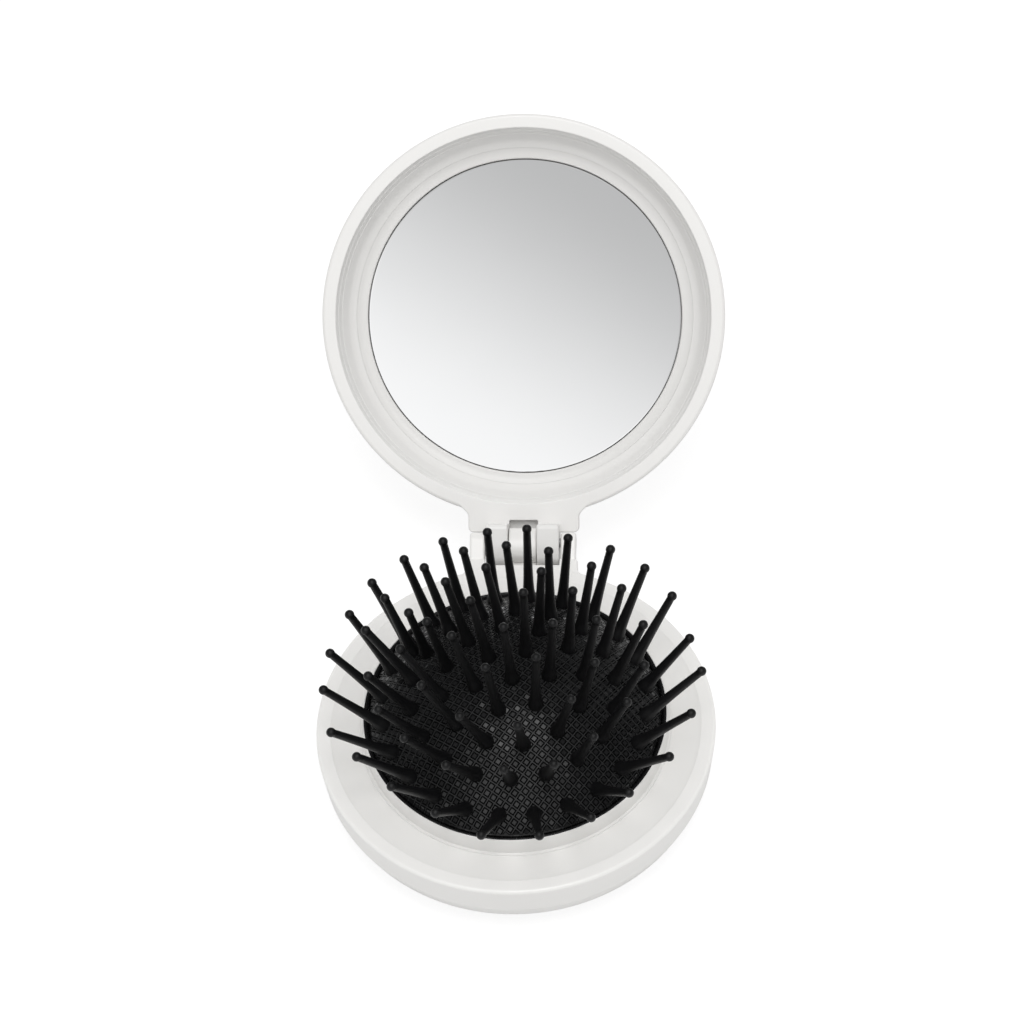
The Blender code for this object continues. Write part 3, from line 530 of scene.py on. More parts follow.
# Rubber cushion
# The black moulded diaphragm that carries the pins: a smooth body under a waffle-grained
# skin, with a bead on the collar's ledge. It turns inside out when the brush is pushed home,
# and it is made in rings, one for each ring of pins.
DOME_RADIUS = 35.2
DOME_EDGE_Z = 3.12
DOME_CENTRE = DOME_EDGE_Z - math.sqrt(DOME_RADIUS**2 - CUSHION_RADIUS**2)
SKIN = 0.4
SKIN_GAP = 0.05
BODY_TOP = DOME_RADIUS - SKIN - SKIN_GAP
BODY_WALL = 1.6
BODY_STEPS = 144
BODY_POINTS = 8
SKIRT_WALL = 1.3
FLANGE_THICKNESS = 1.1
PIN_RING_RADII = (0.0, 6.24, 11.94, 17.13, 22.14)
PIN_RING_NODES = ("pin_centre", "pin_ring_1", "pin_ring_2", "pin_ring_3", "pin_ring_4")
PIN_RING_BODIES = ("brush_centre", "brush_ring_1", "brush_ring_2", "brush_ring_3", "brush_ring_4")
SKIRT_FOOT_Z = -2.4
BEAD_INNER = 24.93
BEAD_GAP = 0.02
BEAD_OUTER = COLLAR_LIP - BEAD_GAP
BEAD_LIFT = 0.04
BEAD_TOP_WIDTH = 0.35
BEAD_ON_DOME = 0.1
BEAD_EDGE = 0.05
BEAD_OUTER_ROUND = 0.15
BEAD_TOP_ROUND = 0.2
RUBBER_COLOUR = (0.0024, 0.0025, 0.0028, 1.0)
RUBBER_SHADE = (0.0036, 0.0036, 0.0040, 1.0)
# The button rubber is a lighter copy of the cushion's black: painted sheen on the button tops and
# on the bead.
BUTTON_PAINTED_SHEEN = (0.0072, 0.0073, 0.0078, 1.0)
BUTTON_SHADE = (0.0100, 0.0100, 0.0106, 1.0)
# The ridge rubber is a lighter copy of the cushion's black: painted sheen along the waffle's ridge
# tops.
RIDGE_PAINTED_SHEEN = (0.0155, 0.0157, 0.0162, 1.0)
RIDGE_SHADE = (0.0115, 0.0117, 0.0122, 1.0)
RUBBER_FINISH = (0.20, 0.10, 3400.0, 0.000006)
BUTTON_FINISH = (0.18, 0.10, 3400.0, 0.000006)
RIDGE_FINISH = (0.34, 0.10, 3400.0, 0.000006)
RUBBER_SPECULAR = 0.33
BUTTON_SPECULAR = 0.50
WAFFLE_PITCH = 1.35
WAFFLE_TURN = math.radians(-34.5)
# A cell of the waffle from ridge to ridge, as shares of the pitch. Parts are numbered from 0
WAFFLE_STEP_SHARES = (-0.43, -0.34, -0.25, 0.25, 0.34, 0.43)
RIDGE_PARTS = (0, 5)
BUTTON_PARTS = (2, 3)
BUTTON_SHEEN_MATERIAL = 1
RIDGE_SHEEN_MATERIAL = 2
WAFFLE_ANGLE = math.radians(9.0)
RIDGE_HEIGHT = 0.14
BUTTON_HEIGHT = 0.15
BUTTON_TILT = 0.05
TILT_WAVES = (12.9898, 78.233, 3.7)
PLAIN_BORDER = 0.45
BORDER_START = 0.2
BORDER_HEIGHT = 0.02
# How the skin rolls over at its edge: distances in from the edge, and heights
SKIN_ROLL = ((0.3, BORDER_HEIGHT), (0.08, -0.06), (0.0, -0.25))

cushion_black = plastic(
    "cushion black", RUBBER_COLOUR, RUBBER_SHADE, RUBBER_FINISH, RUBBER_SPECULAR
)
button_black_painted_sheen = plastic(
    "button black painted sheen", BUTTON_PAINTED_SHEEN, BUTTON_SHADE, BUTTON_FINISH, BUTTON_SPECULAR
)
ridge_black_painted_sheen = plastic("ridge black painted sheen", RIDGE_PAINTED_SHEEN, RIDGE_SHADE, RIDGE_FINISH, RUBBER_SPECULAR)


def dome_height(radius, across):
    """Height above the rim of a sphere about the dome's centre, that far off its axis."""
    return DOME_CENTRE + math.sqrt(radius**2 - across**2)


def along_at(across):
    """How far along the skin a place lies that is that far off the dome's axis."""
    return DOME_RADIUS * math.asin(across / DOME_RADIUS)


def bend_with_brush(piece):
    """Bakes a ring of the cushion's place into its mesh."""
    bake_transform(piece)


def ring_body(ring):
    """The smooth rubber under one ring of skin, in radii between two rings of pins."""
    outermost = ring == len(PIN_RING_RADII) - 1
    low = PIN_RING_RADII[ring]
    high = CUSHION_RADIUS if outermost else PIN_RING_RADII[ring + 1]
    under = BODY_TOP - BODY_WALL
    skirt = CUSHION_RADIUS - SKIRT_WALL
    inner_high = skirt if outermost else high
    outline = []
    for k in range(BODY_POINTS + 1):
        r = low + (high - low) * k / BODY_POINTS
        outline.append((r * MM, dome_height(BODY_TOP, r) * MM))
    if outermost:
        for r, z in (
            (CUSHION_RADIUS, SKIRT_FOOT_Z),
            (FLANGE_RADIUS, SKIRT_FOOT_Z),
            (FLANGE_RADIUS, SKIRT_FOOT_Z - FLANGE_THICKNESS),
            (skirt, SKIRT_FOOT_Z - FLANGE_THICKNESS),
        ):
            outline.append((r * MM, z * MM))
    for k in range(BODY_POINTS + 1):
        r = inner_high + (low - inner_high) * k / BODY_POINTS
        outline.append((r * MM, dome_height(under, r) * MM))
    return turned(f"cushion_body_{ring + 1}", outline, BODY_STEPS, closed=low > 0)


def waffle_point(u, v, height):
    """A point on the dome from distances along its skin, turned to the waffle's rows."""
    along = math.hypot(u, v)
    theta = along / DOME_RADIUS
    phi = math.atan2(v, u) + WAFFLE_TURN
    r = (DOME_RADIUS + height) * math.sin(theta)
    z = DOME_CENTRE + (DOME_RADIUS + height) * math.cos(theta)
    return Vector((r * math.cos(phi) * MM, BASE_Y + r * math.sin(phi) * MM, RIM_Z + z * MM))


def waffle_lines(limit):
    """Places of the waffle's lines along one direction, each with its part in the cell."""
    found = []
    cells = int(limit / WAFFLE_PITCH) + 1
    for cell in range(-cells, cells + 1):
        for part, share in enumerate(WAFFLE_STEP_SHARES):
            found.append(((cell + share) * WAFFLE_PITCH, part))
    return found


def waffle_relief(i, j, part_u, part_v):
    """Height of a grid corner: a ridge round each cell, and in it a button, never quite flat."""
    if part_u in RIDGE_PARTS or part_v in RIDGE_PARTS:
        return RIDGE_HEIGHT
    if part_u in BUTTON_PARTS and part_v in BUTTON_PARTS:
        one, two, both = TILT_WAVES
        return BUTTON_HEIGHT + BUTTON_TILT * math.sin(one * i + two * j + both * i * j)
    return 0.0


def skin_rings():
    """The whole waffle skin, cut into one sheet for each ring of pins."""
    edge_along = along_at(CUSHION_RADIUS)
    grain_limit = edge_along - PLAIN_BORDER
    limits = [along_at(r) for r in PIN_RING_RADII[1:]]
    lines = waffle_lines(grain_limit)
    sheets = [bmesh.new() for _ in PIN_RING_RADII]
    corners = [{} for _ in PIN_RING_RADII]

    def corner(ring, i, j):
        found = corners[ring].get((i, j))
        if found is None:
            (u, part_u), (v, part_v) = lines[i], lines[j]
            relief = waffle_relief(i, j, part_u, part_v)
            found = sheets[ring].verts.new(waffle_point(u, v, relief))
            corners[ring][(i, j)] = found
        return found

    for i in range(len(lines) - 1):
        for j in range(len(lines) - 1):
            u = (lines[i][0] + lines[i + 1][0]) / 2
            v = (lines[j][0] + lines[j + 1][0]) / 2
            along = math.hypot(u, v)
            if along > grain_limit:
                continue
            ring = sum(along > limit for limit in limits)
            square = [(i, j), (i + 1, j), (i + 1, j + 1), (i, j + 1)]
            face = sheets[ring].faces.new([corner(ring, *c) for c in square])
            parts = (lines[i][1], lines[j][1])
            # Ridge tops and button tops take the lighter rubbers, painted sheen against the darker
            # grooves.
            if RIDGE_PARTS[1] in parts:
                face.material_index = RIDGE_SHEEN_MATERIAL
            elif parts == (BUTTON_PARTS[0], BUTTON_PARTS[0]):
                face.material_index = BUTTON_SHEEN_MATERIAL
    return sheets, grain_limit, edge_along


def along_of(co):
    """How far along the skin a point lies from the dome's top."""
    across = math.hypot(co.x, co.y - BASE_Y) / MM
    height = (co.z - RIM_Z) / MM - DOME_CENTRE
    return DOME_RADIUS * math.atan2(across, height)


def moved_along(co, along, height):
    """The point at another distance from the dome's top, in the same direction."""
    phi = math.atan2(co.y - BASE_Y, co.x) - WAFFLE_TURN
    return waffle_point(along * math.cos(phi), along * math.sin(phi), height)


def close_skin(bm, ring, grain_limit, edge_along):
    """Rounds off the outermost sheet and gives each sheet its underside."""
    rim = [e for e in bm.edges if len(e.link_faces) == 1]
    if ring == len(PIN_RING_RADII) - 1:
        halfway = (grain_limit + along_at(PIN_RING_RADII[ring])) / 2
        outer = [e for e in rim if along_of(e.verts[0].co) > halfway]
        for v in {v for e in outer for v in e.verts}:
            v.co = moved_along(v.co, grain_limit, 0.0)
        roll = [(grain_limit + BORDER_START, BORDER_HEIGHT)]
        roll += [(edge_along - inward, height) for inward, height in SKIN_ROLL]
        for along, height in roll:
            grown = bmesh.ops.extrude_edge_only(bm, edges=outer)["geom"]
            outer = [g for g in grown if isinstance(g, bmesh.types.BMEdge)]
            for v in {v for e in outer for v in e.verts}:
                v.co = moved_along(v.co, along, height)
        rim = [e for e in bm.edges if len(e.link_faces) == 1]
    grown = bmesh.ops.extrude_edge_only(bm, edges=rim)["geom"]
    low = [g for g in grown if isinstance(g, bmesh.types.BMEdge)]
    for v in {v for e in low for v in e.verts}:
        v.co = moved_along(v.co, along_of(v.co), -SKIN)
    if ring == 0:
        bmesh.ops.contextual_create(bm, geom=low)
    else:
        bmesh.ops.bridge_loops(bm, edges=low)


sheets, grain_limit, edge_along = skin_rings()
for ring, sheet in enumerate(sheets):
    close_skin(sheet, ring, grain_limit, edge_along)
    pieces = (new_piece(f"cushion_skin_{ring + 1}", sheet), ring_body(ring))
    for piece, node in zip(pieces, (PIN_RING_NODES[ring], "rubber_cushion")):
        for rubber in (cushion_black, button_black_painted_sheen, ridge_black_painted_sheen):
            piece.data.materials.append(rubber)
        piece.data.set_sharp_from_angle(angle=WAFFLE_ANGLE)
        bend_with_brush(piece)
        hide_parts(node)
bead = turned(
    "cushion_bead",
    filleted(
        [
            (BEAD_INNER, COLLAR_LEDGE + BEAD_LIFT, BEAD_EDGE),
            (BEAD_OUTER, COLLAR_LEDGE + BEAD_LIFT, BEAD_EDGE),
            (BEAD_OUTER, COLLAR_TOP + BEAD_LIFT, BEAD_OUTER_ROUND),
            (BEAD_OUTER - BEAD_TOP_WIDTH, COLLAR_TOP + BEAD_LIFT, BEAD_TOP_ROUND),
            (BEAD_INNER, DOME_EDGE_Z + BEAD_ON_DOME, BEAD_EDGE),
        ]
    ),
)
# The bead takes the lighter button rubber: painted sheen.
dress(bead, button_black_painted_sheen, "black_rubber", "base", "rubber_cushion")

# Brush pins
# Black nylon pins with ball tips, one in the middle, four rings of 6, 12, 18 and 24, and one
# out of line. They lean out a little unevenly, and stand up as the cushion turns inside out.
PIN_LENGTH = 14.2
BALL_RADIUS = 0.82
NECK_RADIUS = 0.66
PIN_START = math.radians(10.3)
PIN_STEPS = 24
BALL_POINTS = 12
# The pin below its neck, as (radius, height) down to its foot in the rubber
SHAFT_PROFILE = (
    (0.67, 13.1), (0.69, 11.6), (0.73, 9.4), (0.79, 6.8), (0.86, 4.6), (0.92, 3.2), (0.98, 2.4),
    (1.06, 1.85), (1.15, 1.45), (1.23, 1.05), (1.29, 0.65), (1.32, 0.25), (1.32, -0.25),
)
KEEP_SHARES = (1.0, 1.0, 0.5, 0.4, 0.22)
NYLON_COLOUR = (0.0045, 0.0046, 0.0052, 1.0)
NYLON_SHADE = (0.0030, 0.0030, 0.0035, 1.0)
NYLON_FINISH = (0.42, 0.10, 2400.0, 0.000006)
NYLON_SPECULAR = 0.38
# How far each pin leans, in degrees outward and sideways, from the centre pin to the outer ring
PIN_LEANS_DEG = (
    ((-3, 3),),
    (
        (5, 2), (9, 3), (13, 3), (13, -5), (7, -4), (3, 1),
    ),
    (
        (12, 5), (9, 3), (11, 0), (14, 7), (18, 3), (9, 6),
        (26, -9), (20, -10), (21, -9), (22, -5), (17, 1), (13, 1),
    ),
    (
        (23, 5), (21, 7), (18, 3), (15, 5), (17, 5), (20, 4),
        (23, 2), (5, 10), (33, -3), (29, 3), (31, -4), (30, -9),
        (32, -8), (28, -2), (29, -2), (23, -2), (22, 2), (23, 3),
    ),
    (
        (35, 2), (36, 10), (33, 6), (27, 1), (20, 1), (23, 2),
        (21, 0), (24, 2), (27, 2), (31, -1), (31, -2), (37, -2),
        (42, -9), (45, -9), (38, -13), (37, -10), (40, -6), (48, -8),
        (49, -2), (46, 1), (43, -3), (43, 5), (41, 10), (43, 15),
    ),
)
# One pin more stands out of line, between the third ring and the fourth
ODD_PIN_RING = 3
ODD_PIN_NUMBER = 19
ODD_PIN_RADIUS = 19.8
ODD_PIN_ANGLE = math.radians(150.8)
ODD_PIN_LEAN_DEG = (18.9, 1.7)
pin_nylon = plastic("pin nylon", NYLON_COLOUR, NYLON_SHADE, NYLON_FINISH, NYLON_SPECULAR)


def pin_outline():
    """From the ball's top down: ball, neck, swelling shaft, and a soft foot in the rubber."""
    found = []
    neck = math.asin(NECK_RADIUS / BALL_RADIUS)
    for k in range(BALL_POINTS + 1):
        a = (math.pi - neck) * k / BALL_POINTS
        found.append((BALL_RADIUS * math.sin(a), PIN_LENGTH + BALL_RADIUS * math.cos(a)))
    found += SHAFT_PROFILE
    found.append((0.0, SHAFT_PROFILE[-1][1]))
    return found


def pin_piece(name, stand):
    """One pin, its outline turned about its own line and stood in place."""

    def place(r, z, a):
        return (r * MM * math.cos(a), r * MM * math.sin(a), z * MM)

    bm = spun(pin_outline(), PIN_STEPS, place)
    bm.transform(stand)
    return new_piece(name, bm)


def stand_pin(ring, number, radius, angle, lean):
    """Stands a pin on the dome at its lean and ties it to its ring's body."""
    foot_z = RIM_Z + dome_height(DOME_RADIUS, radius) * MM
    turn = Matrix.Translation((0.0, BASE_Y, 0.0)) @ Matrix.Rotation(angle, 4, "Z")
    turn = turn @ Matrix.Translation((radius * MM, 0.0, foot_z))
    out, side = (math.tan(math.radians(degrees)) for degrees in lean)
    stand = Vector((0.0, 0.0, 1.0)).rotation_difference(Vector((out, side, 1.0)))
    pin = pin_piece(f"pin_{ring + 1}_{number}", turn @ stand.to_matrix().to_4x4())
    pin.data.materials.append(pin_nylon)
    pin.data.set_sharp_from_angle(angle=SHARP_ANGLE)
    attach(pin, PIN_RING_BODIES[ring])
    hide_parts(PIN_RING_NODES[ring])
    if KEEP_SHARES[ring] < 1:
        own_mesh(pin)


for ring, radius in enumerate(PIN_RING_RADII):
    leans = PIN_LEANS_DEG[ring]
    for k, lean in enumerate(leans):
        stand_pin(ring, k + 1, radius, PIN_START + math.tau * k / len(leans), lean)
stand_pin(ODD_PIN_RING, ODD_PIN_NUMBER, ODD_PIN_RADIUS, ODD_PIN_ANGLE, ODD_PIN_LEAN_DEG)

# Push plate
# The white dished disc under the cushion's middle. A thumb through the hole in the foot
# pushes it up to raise the brush.
PLATE_RADIUS = 8.6
PLATE_DEPTH = 2.0
PLATE_THICKNESS = 1.0
PLATE_CHAMFER = 0.15
PLATE_LIP = 1.8
PLATE_LIP_SLOPE = 0.1
PLATE_STEPS = 96
PLATE_TOP_POINTS = 10
PLATE_UNDER_POINTS = 8
plate_top = DOME_RADIUS - SKIN - PLATE_DEPTH
plate_outline = []
for k in range(PLATE_TOP_POINTS + 1):
    r = PLATE_RADIUS * k / PLATE_TOP_POINTS
    plate_outline.append((r * MM, dome_height(plate_top, r) * MM))
lip_foot = plate_outline[-1][1] - PLATE_THICKNESS * MM
lip_inner = PLATE_RADIUS - PLATE_LIP
chamfer_top = lip_foot + PLATE_CHAMFER * MM
plate_outline.append((PLATE_RADIUS * MM, chamfer_top))
plate_outline.append(((PLATE_RADIUS - PLATE_CHAMFER) * MM, lip_foot))
plate_outline.append(((lip_inner + PLATE_CHAMFER) * MM, lip_foot))
plate_outline.append((lip_inner * MM, chamfer_top))
for k in range(PLATE_UNDER_POINTS + 1):
    r = (lip_inner - PLATE_LIP_SLOPE) * (1 - k / PLATE_UNDER_POINTS)
    plate_outline.append((r * MM, dome_height(plate_top - PLATE_THICKNESS, r) * MM))
thumb_plate = turned("push_plate_disc", plate_outline, PLATE_STEPS, closed=False)
dress(thumb_plate, case_white_painted_lighter, "white_plastic", "brush_centre", "push_plate")

# Lid frame
# The white inner half of the lid: flat rim, steep recess wall with two fine steps, a wide
# cove down to the mirror's surround, and the lug with its notch and two knuckles.
LID_RIM_Z = RIM_Z + 0.3 * MM
LID_OPEN = math.radians(-141.3)
LID_RADIUS = 35.0
LID_RIM_INNER = 32.65
LID_RIM_ROUND = 0.65
LID_RIM_INNER_ROUND = 0.22
LID_FLANGE = 1.2
LID_FLANGE_EDGE = 0.08
FRAME_BACK = (31.7, 6.6)
FRAME_SHOULDER = (32.9, 4.0)
FRAME_NECK = 33.35
FRAME_ROUND = 0.4
WALL_STEPS = ((32.23, 1.25), (31.72, 2.6))
WALL_STEP_WIDTH = 0.05
WALL_STEP_EDGE = 0.03
RECESS_DEPTH = 5.75
COVE_RADIUS = 3.3
COVE_END = 28.0
COVE_ANGLES_DEG = (65, 57, 49, 41, 33)
SURROUND_SEAM = 29.38
LID_LUG_FLARE = 1.7
LID_LUG_FLARE_BACK = 0.9
LID_LUG_FLARE_ROUND = 1.4
LID_LUG_STRAIGHT = 0.8
LID_LUG_SETBACK = 1.75
LID_LUG_CORNER = 0.9
LID_LUG_THICKNESS = 2.8
LID_LUG_LIFT = 0.002
LID_LUG_EDGE = 0.25
LID_ROOT_INSET = 0.5
NOTCH_HALF = 2.5
NOTCH_SETBACK = 3.95
NOTCH_CORNER = 0.25
NOTCH_DEPTH = 2.1
CUT_OVERRUN = 1.0
COVER_ROOM_RADIUS = 35.3
COVER_ROOM_TOP = 4.0
LID_KNUCKLE_RADIUS = 4.5
LID_KNUCKLE_INNER = 2.52
LID_KNUCKLE_SWEEP_DEG = 155.0
LID_KNUCKLE_POINTS = 36
LID_KNUCKLE_EDGE = 0.25
BLOCK_FRONT = -3.3
BLOCK_ROUND = 0.8
BLOCK_POINTS = 6
BLOCK_START_DEG = 180.0
BLOCK_SWEEP_DEG = 90.0
BLOCK_TOP_SHARE = 0.9
# The lid's white and its clouded tint are a darker copy of the case's white plastic: painted shade
# over the lid's frame and cover.
LID_WHITE_PAINTED_SHADE = (0.786, 0.778, 0.762, 1.0)
LID_SHADE = (0.762, 0.754, 0.738, 1.0)
lid_white_painted_shade = plastic("lid white painted shade", LID_WHITE_PAINTED_SHADE, LID_SHADE, WHITE_FINISH)
to_rest = Matrix.Translation((0.0, HINGE_Y, HINGE_Z)) @ Matrix.Rotation(LID_OPEN, 4, "X")
to_rest = to_rest @ Matrix.Translation((0.0, -HINGE_Y, -HINGE_Z))


def open_lid(piece):
    """Turns a piece that was drawn with the lid shut up to where the lid rests."""
    piece.data.transform(to_rest)
    return piece


def cove_point(across):
    """A corner on the cove, which runs from the recess wall down to the flat surround."""
    off = max(across - COVE_END, 0.0)
    return (across, RECESS_DEPTH - COVE_RADIUS + math.sqrt(COVE_RADIUS**2 - off**2), 0.0)


wall_steps = []
for across, deep in WALL_STEPS:
    wall_steps.append((across, deep, WALL_STEP_EDGE))
    wall_steps.append((across - WALL_STEP_WIDTH, deep, WALL_STEP_EDGE))
cove_sines = [math.sin(math.radians(degrees)) for degrees in COVE_ANGLES_DEG]
cove = [cove_point(COVE_END + COVE_RADIUS * sine) for sine in cove_sines]
lid_frame = turned(
    "lid_frame_moulding",
    filleted(
        [
            (SURROUND_SEAM, FRAME_BACK[1], CRISP_EDGE),
            (*FRAME_BACK, FRAME_ROUND),
            (*FRAME_SHOULDER, FRAME_ROUND),
            (FRAME_NECK, LID_FLANGE, CRISP_EDGE),
            (LID_RADIUS, LID_FLANGE, LID_FLANGE_EDGE),
            (LID_RADIUS, 0.0, LID_RIM_ROUND),
            (LID_RIM_INNER, 0.0, LID_RIM_INNER_ROUND),
            *wall_steps,
            *cove,
            cove_point(SURROUND_SEAM),
        ]
    ),
    up=LID_RIM_Z,
)
hinge_y = HINGE_Y / MM
lid_back = math.sqrt(LID_RADIUS**2 - LUG_HALF**2) + BASE_Y / MM
lid_root = BASE_Y / MM + LID_RIM_INNER + LID_ROOT_INSET
lid_low = LID_RIM_Z / MM
lid_lug_side = [
    (-LUG_HALF - LID_LUG_FLARE, lid_back - LID_LUG_FLARE_BACK, 0.0),
    (-LUG_HALF, lid_back + LID_LUG_STRAIGHT, LID_LUG_FLARE_ROUND),
    (-LUG_HALF, hinge_y - LID_LUG_SETBACK, LID_LUG_CORNER),
]
lid_lug_root = [
    (LUG_HALF + LID_LUG_FLARE_BACK, lid_back - LID_LUG_FLARE, 0.0),
    (LUG_ROOT_HALF, lid_root, 0.0),
]
lid_lug_outline = filleted(mirrored(lid_lug_side) + mirrored(lid_lug_root))
lug_top = lid_low + LID_LUG_THICKNESS
lid_lug = slab("lid_lug", lid_lug_outline, lid_low + LID_LUG_LIFT, lug_top, LID_LUG_EDGE)
notch_back = mirrored([(-NOTCH_HALF, hinge_y - NOTCH_SETBACK, NOTCH_CORNER)])
notch_outline = filleted(notch_back + mirrored([(NOTCH_HALF, hinge_y, 0.0)]))
notch = slab("notch", notch_outline, lid_low - CUT_OVERRUN, lid_low + NOTCH_DEPTH, edge=0.0)
merge(lid_lug, notch, "DIFFERENCE")
cover_room = turned(
    "cover_room",
    [
        (0.0, COVER_ROOM_TOP * MM),
        (COVER_ROOM_RADIUS * MM, COVER_ROOM_TOP * MM),
        (COVER_ROOM_RADIUS * MM, LID_FLANGE * MM),
        (0.0, LID_FLANGE * MM),
    ],
    closed=False,
    up=LID_RIM_Z,
)
merge(lid_lug, cover_room, "DIFFERENCE")
merge(lid_frame, lid_lug)
for side in (-1, 1):
    knuckle_outline = []
    for k in range(BLOCK_POINTS + 1):
        a = math.radians(BLOCK_START_DEG + BLOCK_SWEEP_DEG * k / BLOCK_POINTS)
        y = BLOCK_FRONT + BLOCK_ROUND * (1 + math.cos(a))
        z = BLOCK_ROUND * (1 + math.sin(a)) - LID_KNUCKLE_RADIUS
        knuckle_outline.append((y * MM, z * MM))
    for k in range(LID_KNUCKLE_POINTS + 1):
        a = math.radians(STRAIGHT_DOWN_DEG + LID_KNUCKLE_SWEEP_DEG * k / LID_KNUCKLE_POINTS)
        y = LID_KNUCKLE_RADIUS * math.cos(a)
        knuckle_outline.append((y * MM, LID_KNUCKLE_RADIUS * math.sin(a) * MM))
    knuckle_outline.append((BLOCK_FRONT * MM, LID_KNUCKLE_RADIUS * BLOCK_TOP_SHARE * MM))
    ends = sorted((side * LID_KNUCKLE_INNER, side * LID_KNUCKLE_OUTER))
    knuckle = slab("lid_knuckle", knuckle_outline, *ends, LID_KNUCKLE_EDGE, sideways=True)
    merge(lid_frame, knuckle)
lid_bore = rod("lid_bore", BORE_RADIUS, -BORE_HALF_LENGTH, BORE_HALF_LENGTH)
merge(lid_frame, lid_bore, "DIFFERENCE")
open_lid(lid_frame)
dress(lid_frame, lid_white_painted_shade, "white_plastic", "lid", "lid_frame")

# Lid cover
# The lid's white outer shell, a shallow and slightly crowned cap that shuts on the frame's
# flange with a fine seam all round.
COVER_TOP = 8.6
COVER_CROWN = (0.0, COVER_TOP + 0.4)
CROWN_MIDDLE = (15.0, COVER_TOP + 0.3)
CROWN_EDGE = (30.3, COVER_TOP - 0.05)
COVER_SHOULDER = (34.2, 6.6)
COVER_SIDE_Z = 3.6
COVER_SEAM_Z = 1.5
COVER_SEAM_EDGE = 0.15
COVER_WALL = 1.0
SHOULDER_INSIDE = (33.2, 6.2)
CROWN_INSIDE = (30.0, 7.6)
CROWN_MIDDLE_ROUND = 2.0
CROWN_EDGE_ROUND = 3.0
SHOULDER_ROUND = 3.2
COVER_SIDE_ROUND = 2.0
COVER_INSIDE_ROUND = 1.5
SHOULDER_INSIDE_ROUND = 2.4
lid_cover = turned(
    "lid_cover_shell",
    filleted(
        [
            (*COVER_CROWN, 0.0),
            (*CROWN_MIDDLE, CROWN_MIDDLE_ROUND),
            (*CROWN_EDGE, CROWN_EDGE_ROUND),
            (*COVER_SHOULDER, SHOULDER_ROUND),
            (LID_RADIUS, COVER_SIDE_Z, COVER_SIDE_ROUND),
            (LID_RADIUS, COVER_SEAM_Z, COVER_SEAM_EDGE),
            (LID_RADIUS - COVER_WALL, COVER_SEAM_Z, CRISP_EDGE),
            (LID_RADIUS - COVER_WALL, COVER_SIDE_Z, COVER_INSIDE_ROUND),
            (*SHOULDER_INSIDE, SHOULDER_INSIDE_ROUND),
            (*CROWN_INSIDE, CROWN_MIDDLE_ROUND),
            (0.0, CROWN_INSIDE[1], 0.0),
        ],
        closed=False,
    ),
    closed=False,
    up=LID_RIM_Z,
)
open_lid(lid_cover)
dress(lid_cover, lid_white_painted_shade, "white_plastic", "lid", "lid_cover")

# Mirror bezel
# The flat white ring that surrounds the mirror, flush with the frame's cove at a hairline
# seam, its inner edge rounded off to a narrow dark gap.
# The bezel's white and its clouded tint are a much darker copy of the white plastic: painted shade
# in the lid's recess.
BEZEL_WHITE_PAINTED_SHADE = (0.706, 0.699, 0.684, 1.0)
BEZEL_SHADE = (0.682, 0.675, 0.660, 1.0)
BEZEL_INNER = 27.42
BEZEL_INNER_ROUND = 0.25
BEZEL_BACK_Z = 7.3
BEZEL_OUTER = SURROUND_SEAM - 0.02
COVE_MIDDLE = COVE_END + 0.9
COVE_LOW = COVE_END + 0.45
bezel_white_painted_shade = plastic("bezel white painted shade", BEZEL_WHITE_PAINTED_SHADE, BEZEL_SHADE, WHITE_FINISH)
bezel = turned(
    "mirror_bezel_ring",
    filleted(
        [
            (BEZEL_INNER, BEZEL_BACK_Z, CRISP_EDGE),
            (BEZEL_OUTER, BEZEL_BACK_Z, CRISP_EDGE),
            cove_point(BEZEL_OUTER),
            cove_point(COVE_MIDDLE),
            cove_point(COVE_LOW),
            (COVE_END, RECESS_DEPTH, 0.0),
            (BEZEL_INNER, RECESS_DEPTH, BEZEL_INNER_ROUND),
        ]
    ),
    up=LID_RIM_Z,
)
open_lid(bezel)
dress(bezel, bezel_white_painted_shade, "white_plastic", "lid", "mirror_bezel")

# Mirror
# A disc of thin silvered glass with a fine ground edge, stuck down with a disc of white foam
# tape that stays out of sight behind it.
MIRROR_RADIUS = 27.22
MIRROR_FACE = 6.2
MIRROR_BACK = 7.0
BEVEL_DEPTH = 0.03
BEVEL_WIDTH = 0.2
SILVER_COLOUR = (0.93, 0.935, 0.94, 1.0)
SILVER_SHADE = (0.90, 0.905, 0.91, 1.0)
SILVER_FINISH = (0.012, 0.008, 900.0, 0.0)
TAPE_COLOUR = (0.70, 0.70, 0.68, 1.0)
TAPE_SHADE = (0.62, 0.62, 0.60, 1.0)
TAPE_FINISH = (0.85, 0.1, 1800.0, 0.00005)
silvering = plastic("silvered glass", SILVER_COLOUR, SILVER_SHADE, SILVER_FINISH)
silvering.node_tree.nodes["Principled BSDF"].inputs["Metallic"].default_value = 1.0
mirror = turned(
    "mirror_disc",
    [
        (0.0, MIRROR_BACK * MM),
        (MIRROR_RADIUS * MM, MIRROR_BACK * MM),
        (MIRROR_RADIUS * MM, (MIRROR_FACE + BEVEL_DEPTH) * MM),
        ((MIRROR_RADIUS - BEVEL_WIDTH) * MM, MIRROR_FACE * MM),
        (0.0, MIRROR_FACE * MM),
    ],
    closed=False,
    up=LID_RIM_Z,
)
open_lid(mirror)
dress(mirror, silvering, "silvered_glass", "lid", "mirror_glass")

foam_tape = plastic("foam tape", TAPE_COLOUR, TAPE_SHADE, TAPE_FINISH)
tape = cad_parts["mirror_tape"]
tape.data.materials.clear()
tape.data.materials.append(foam_tape)

